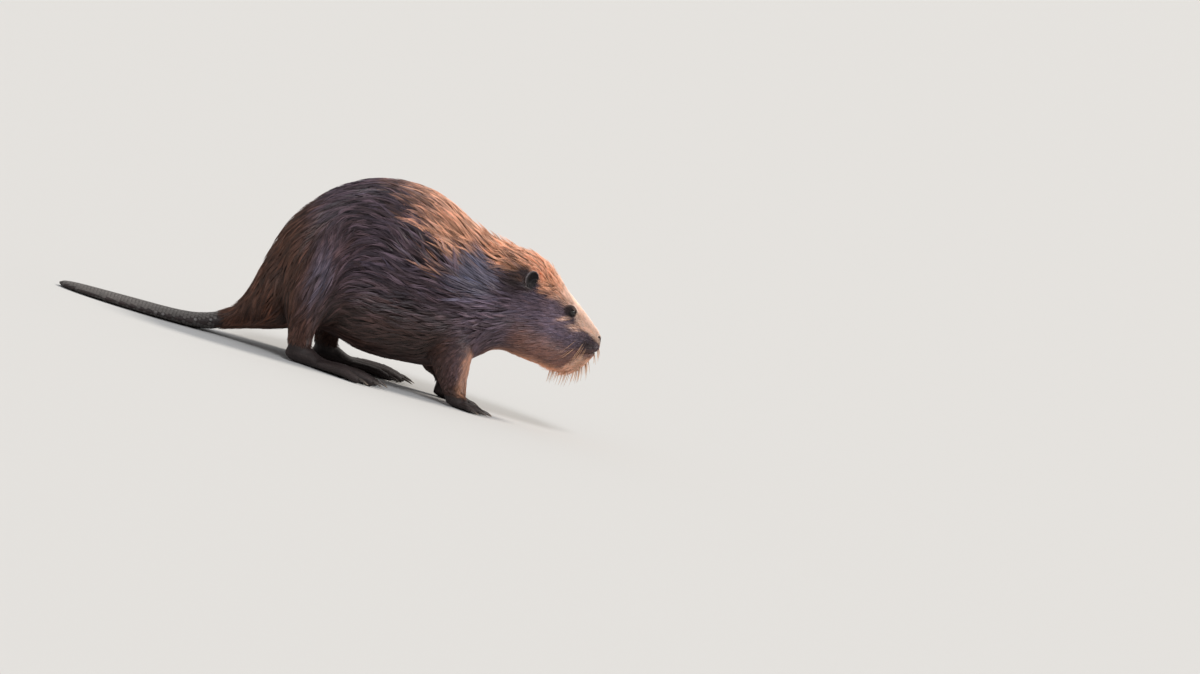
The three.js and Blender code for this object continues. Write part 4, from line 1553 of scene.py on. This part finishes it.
def eye_material():
    """A black pupil in a dark brown iris under a wet, clear coat."""
    material, tree, shader = new_material("wet eye", 0.12)
    iris = ramp_node(tree, stored(tree, "off_axis"), [
        (0.0, (0.002, 0.0015, 0.0015)), (0.34, (0.002, 0.0015, 0.0015)), (0.42, (0.012, 0.007, 0.004)),
        (0.70, (0.008, 0.005, 0.004)), (0.85, (0.005, 0.004, 0.004)),
    ])
    tree.links.new(iris, shader.inputs["Base Color"])
    shader.inputs["Specular IOR Level"].default_value = 0.0
    shader.inputs["Coat Weight"].default_value = 1.0
    shader.inputs["Coat Roughness"].default_value = 0.10
    shader.inputs["Coat IOR"].default_value = 1.52
    return material


wet_eye = eye_material()
eyeballs = {side_name: eyeball(side_name) for side_name in SIDES}
for piece in eyeballs.values():
    piece.data.materials.append(wet_eye)
print("eyeballs:", [piece.name for piece in eyeballs.values()])

# %% [markdown]
# ## Claws
# The claws are dark horn, worn paler at the tip. They could be modelled again from cones, but the plain
# solids already have their curve, so each is copied, its root is drawn back into the toe and it is rounded
# by a subdivision. Those of one foot are joined.

# %% Rounded claws
FEET = [f"{limb}_{side}" for limb in ("hind", "fore") for side in SIDES]
CLAW_ROOT = 4.0


def rounded_claw(name):
    """A smooth copy of one plain claw, its root drawn back into the toe."""
    part = merged_copy(name, distance=0.02 * MM)
    with editing(part):
        bpy.ops.mesh.tris_convert_to_quads()
    places = points_of(part.data)
    middle = places.mean(axis=0)
    _, _, axes = np.linalg.svd(places - middle)
    forward = axes[0] * np.sign(axes[0][0])
    reach = (places - middle) @ forward
    share = (reach - reach.min()) / np.ptp(reach)
    store(part.data, "along", share)
    move_points(part.data, places - np.outer(ramp(share, 0.45, 0.0), forward) * CLAW_ROOT * MM)
    apply_modifier(part, "SUBSURF", levels=2, render_levels=2)
    return part


def claws_of(foot):
    """The rounded claws of one foot as one piece, and the nodes they replace."""
    nodes = sorted(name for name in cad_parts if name.startswith(foot + "_claw"))
    piece = joined([rounded_claw(name) for name in nodes], "claws_" + foot)
    bpy.ops.object.shade_smooth()
    return piece, nodes


def claw_material():
    """Dark horn with fine grain, paler towards the worn tip."""
    material, tree, shader = new_material("claw horn", 0.35)
    grain = pattern(tree, "ShaderNodeTexNoise", Scale=420.0, Detail=3.0).outputs["Fac"]
    worn = ramp_node(tree, stored(tree, "along"), [
        (0.0, (0.030, 0.022, 0.020)), (0.55, (0.060, 0.045, 0.038)), (1.0, (0.20, 0.155, 0.12)),
    ])
    shade = ramp_node(tree, grain, [(0.3, 0.7), (0.7, 1.3)])
    tree.links.new(multiplied(tree, worn, shade), shader.inputs["Base Color"])
    relief(tree, shader, grain, strength=0.25, distance=0.0004)
    return material


claw_horn = claw_material()
claws = [claws_of(foot) for foot in FEET]
for piece, nodes in claws:
    piece.data.materials.append(claw_horn)
    print(piece.name, "for", len(nodes), "claws,", len(piece.data.polygons), "faces")

# %% [markdown]
# ## Whiskers and bristles
# Stiff pale bristles hang from the chin and lips, whiskers droop from the pad behind the nose, and a few
# pale hairs stand under the eye. Each could be a bevelled curve, but as thin four-sided cones they are made
# all at once, as the locks are, and each bends a little under its own weight.

# %% Build bristles
BRISTLE_RINGS = 5
BRISTLE_BEND = np.array([-0.10, 0, -0.06])
TIP_THINNING = 0.8
STRAW = np.array([0.66, 0.37, 0.21])


def map_at(places):
    """The places on the skin's map of the triangles nearest to some places."""
    triangle = np.array([skin_surface.find_nearest(place)[2] for place in places.tolist()])
    return flat_map[corner_loops[triangle]].mean(axis=1)


def bristle_mesh(name, roots, directions, lengths, radius):
    """Cones from the skin outwards, with a bend added towards their tips."""
    count = len(roots)
    steps = np.linspace(0, 1, BRISTLE_RINGS + 1)
    lengths, radius = lengths[:, None], radius[:, None]
    line = np.stack([
        roots + directions * lengths * share + BRISTLE_BEND * lengths * share * share for share in steps
    ], axis=1)
    course = unit(np.gradient(line, axis=1))
    across = unit(np.cross(course, [0.31, 0.17, 0.93]))
    over = np.cross(course, across)
    points = np.empty((count, BRISTLE_RINGS * 4 + 1, 3))
    for ring in range(BRISTLE_RINGS):
        thickness = radius * (1 - TIP_THINNING * steps[ring])
        for corner in range(4):
            angle = corner * math.pi / 2
            offset = across[:, ring] * math.cos(angle) + over[:, ring] * math.sin(angle)
            points[:, ring * 4 + corner] = line[:, ring] + offset * thickness
    points[:, -1] = line[:, -1]
    around = np.tile(np.array([[0, 0], [0.33, 0.1], [0.67, 0.0], [1, 0.1]]), (BRISTLE_RINGS, 1))
    around[:, 1] += np.repeat(np.arange(BRISTLE_RINGS) * 0.17, 4)
    patch = np.concatenate([around, [[0.5, 1.0]]]) - 0.5
    tone = (0.75 + 0.5 * rng.random(count))[:, None]
    along = np.append(np.repeat(steps[:-1], 4), 1.0)
    faces = cone_faces(4, BRISTLE_RINGS)
    return many_alike(name, points, faces, map_at(roots), patch, STRAW * tone, along)


print("triangles of a bristle:", len(cone_faces(4, BRISTLE_RINGS)))

# %% Chin, lip, whisker pad and eye
CHIN_BRISTLES = 58
LIP_BRISTLES = 14
WHISKERS_PER_SIDE = 12
EYE_HAIRS_PER_SIDE = 9
BEFORE_LIPS, BESIDE_PAD, BESIDE_EYE = 300.0, 60.0, 48.0
SUNK_IN_SKIN = 1.5


def spread(count, low, high):
    """Evenly drawn random numbers between two limits."""
    return low + (high - low) * rng.random(count)


def side_by_side(*values):
    """Numbers and arrays side by side, one row for each bristle."""
    return np.stack(np.broadcast_arrays(*values), axis=1)


def bristle_sets():
    """Roots, directions, lengths and radii of the bristles of each part of the face."""
    n = CHIN_BRISTLES
    x = spread(n, 228, 284)
    y = spread(n, -24, 24) * ramp(x, 296, 262)
    lean = 0.08 + 0.55 * ramp(x, 262, 286)
    roots, lie = side_by_side(x, y, value_at(BELLY_LINE, x) - 5), side_by_side(lean, y * 0.012, -1.0)
    yield roots, lie, spread(n, 15, 29), spread(n, 0.42, 0.80)
    n = LIP_BRISTLES
    y = spread(n, -15, 15)
    roots = side_by_side(BEFORE_LIPS, y, spread(n, 132, 150))
    lie = side_by_side(spread(n, 0.35, 0.65), y * 0.02, -1.0)
    yield roots, lie, spread(n, 12, 22), spread(n, 0.38, 0.62)
    for side in SIDES.values():
        n = WHISKERS_PER_SIDE
        x, z = spread(n, 261, 285), spread(n, 136, 158)
        lean = -0.75 + 0.65 * ramp(x, 260, 286)
        lie = side_by_side(lean, side * spread(n, 0.2, 0.55), -1.0)
        yield side_by_side(x, side * BESIDE_PAD, z), lie, spread(n, 24, 42), np.full(n, 0.38)
        n = EYE_HAIRS_PER_SIDE
        for x_middle, z_middle, rise in ((236, 178, -0.55), (256, 168, 0.0)):
            x, z = x_middle + spread(n, -6, 6), z_middle + spread(n, -3, 3)
            lie = side_by_side(-1.0, side * spread(n, 0.45, 0.65), rise + spread(n, -0.2, 0.2))
            yield side_by_side(x, side * BESIDE_EYE, z), lie, spread(n, 9, 15), np.full(n, 0.45)


gathered = []
for roots, lie, lengths, radii in bristle_sets():
    on_face, _ = onto_skin(roots)
    gathered.append((on_face - unit(lie) * SUNK_IN_SKIN, unit(lie), lengths, radii))
bristles = bristle_mesh("whiskers", *(np.concatenate(column) for column in zip(*gathered)))
print("bristles and whiskers:", sum(len(part[0]) for part in gathered))


# %% Pale bristle
def bristle_material():
    """Stiff pale hair, darker at the root."""
    material, tree, shader = new_material("pale bristle", 0.38)
    fade = ramp_node(tree, stored(tree, "along"), [(0.0, 0.45), (0.4, 1.0), (1.0, 1.2)])
    tree.links.new(multiplied(tree, stored(tree, "pelt", "Color"), fade), shader.inputs["Base Color"])
    return material


bristles.data.materials.append(bristle_material())
print("bristles finished with", bristles.data.materials[0].name)

# %% [markdown]
# ## Scales of the tail
# The flat tail is covered above and below with small six-sided scales that overlap like roof slates. A bump
# map would look flat from the side, so they are real: each is a low dome on a closed base. They are set in
# staggered rows, found by looking straight down and straight up at the tail.

# %% A grid of scales
SCALE_LENGTH, SCALE_WIDTH, SCALE_HEIGHT = 7.2, 5.8, 0.5
ROW_STEP, COLUMN_STEP = SCALE_LENGTH * 0.78, SCALE_WIDTH * 0.98
TAIL_ROOT, TAIL_TIP = -291.0, -562.0
COLUMNS_EACH_WAY = 14
THINNEST_TAIL = 2.6
FAR_OFF = 400.0
tail_points = skin_places[skin_places[:, 0] < TAIL_ROOT]
TAIL_MIDDLE = float((tail_points[:, 1].min() + tail_points[:, 1].max()) / 2)


def scale_places():
    """Place and normal of each scale, above and below, in staggered rows."""
    places, normals = [], []
    for row in range(int((TAIL_ROOT - TAIL_TIP) / ROW_STEP)):
        x = TAIL_ROOT - row * ROW_STEP
        for column in range(-COLUMNS_EACH_WAY, COLUMNS_EACH_WAY + 1):
            y = TAIL_MIDDLE + (column + 0.5 * (row % 2)) * COLUMN_STEP
            above = skin_surface.ray_cast(Vector((x, y, FAR_OFF)), Vector((0, 0, -1)))
            below = skin_surface.ray_cast(Vector((x, y, -FAR_OFF)), Vector((0, 0, 1)))
            if above[0] is None or below[0] is None or above[0].z - below[0].z < THINNEST_TAIL:
                continue
            for hit in (above, below):
                places.append(np.array(hit[0]) + rng.normal(0, 0.15, 3) * (1, 1, 0))
                normals.append(unit(skin_normals[corner_vertices[hit[2]]].mean(axis=0)))
    return np.array(places), np.array(normals)


scale_at, scale_normal = scale_places()
print("tail", np.ptp(tail_points[:, 1]).round(0), "mm wide, with", len(scale_at), "scales")

# %% The scales
TAIL_COLOUR = np.array([0.050, 0.041, 0.038])
SCALE_SUNK = 0.9
BASE_SIZE, TOP_SIZE = 1.06, 0.66


def scale_mesh(places, normals):
    """Low six-sided domes with closed bases, their rear edges a little raised."""
    count = len(places)
    back = unit(np.array([-1.0, 0, 0]) - normals * (normals @ np.array([-1.0, 0, 0]))[:, None])
    side = np.cross(normals, back)
    size = (0.92 + 0.16 * rng.random(count))[:, None]
    points = np.empty((count, 19, 3))
    for corner in range(6):
        angle = corner * math.pi / 3
        away = back * (math.cos(angle) * SCALE_LENGTH / 2) + side * (math.sin(angle) * SCALE_WIDTH / 1.8)
        raised = 0.30 + 0.25 * math.cos(angle)
        points[:, corner] = places + away * size * BASE_SIZE - normals * SCALE_SUNK
        points[:, 6 + corner] = places + away * size + normals * raised * SCALE_HEIGHT
        points[:, 12 + corner] = places + away * size * TOP_SIZE + normals * (raised + 0.55) * SCALE_HEIGHT
    points[:, 18] = places + normals * SCALE_HEIGHT
    angles = np.arange(6) * math.pi / 3
    ring = np.stack([np.cos(angles), np.sin(angles)], axis=1) / 2
    patch = np.concatenate([ring, ring * 0.8, ring * 0.5, [[0, 0]]])
    tone = (0.75 + 0.5 * rng.random(count))[:, None]
    along = np.append(np.repeat([0.0, 0.45, 0.85], 6), 1.0)
    return many_alike(
        "tail_scales", points, cone_faces(6, 3), map_at(places), patch, TAIL_COLOUR * tone, along,
    )


def scale_material():
    """Dark leathery scales, darker in the joints, with a dull gloss."""
    material, tree, shader = new_material("tail scale", 0.45)
    pores = pattern(tree, "ShaderNodeTexNoise", Scale=700.0, Detail=3.0).outputs["Fac"]
    joint = ramp_node(tree, stored(tree, "along"), [(0.0, 0.35), (0.5, 0.7), (0.9, 1.25)])
    mottle = ramp_node(tree, pores, [(0.3, 0.75), (0.7, 1.25)])
    colour = multiplied(tree, stored(tree, "pelt", "Color"), joint, mottle)
    tree.links.new(colour, shader.inputs["Base Color"])
    relief(tree, shader, pores, strength=0.3, distance=0.0003)
    return material


tail_scales = scale_mesh(scale_at, scale_normal)
tail_scales.data.materials.append(scale_material())
print("tail scales:", len(tail_scales.data.polygons), "triangles")

# %% [markdown]
# ## What replaces what
# The skin takes the place of all the plain flesh, the eyeballs and claws of theirs, and the rest is added.
# The animal is still, so every piece rides on its one body.

# %% Pieces, the solids they replace and their slots
handed = [(skin, FLESH, "fur")]
handed += [(piece, [], "fur") for piece in long_coat + short_coat + [bristles]]
handed += [(piece, ["eye_" + side_name], "eyeball") for side_name, piece in eyeballs.items()]
handed += [(piece, nodes, "horn") for piece, nodes in claws]
handed += [(tail_scales, [], "tail_skin")]
print("pieces to hand over:", len(handed))

# %% Hand over
for piece, nodes, slot in handed:
    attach(piece, "root")
    if nodes:
        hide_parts(*nodes)
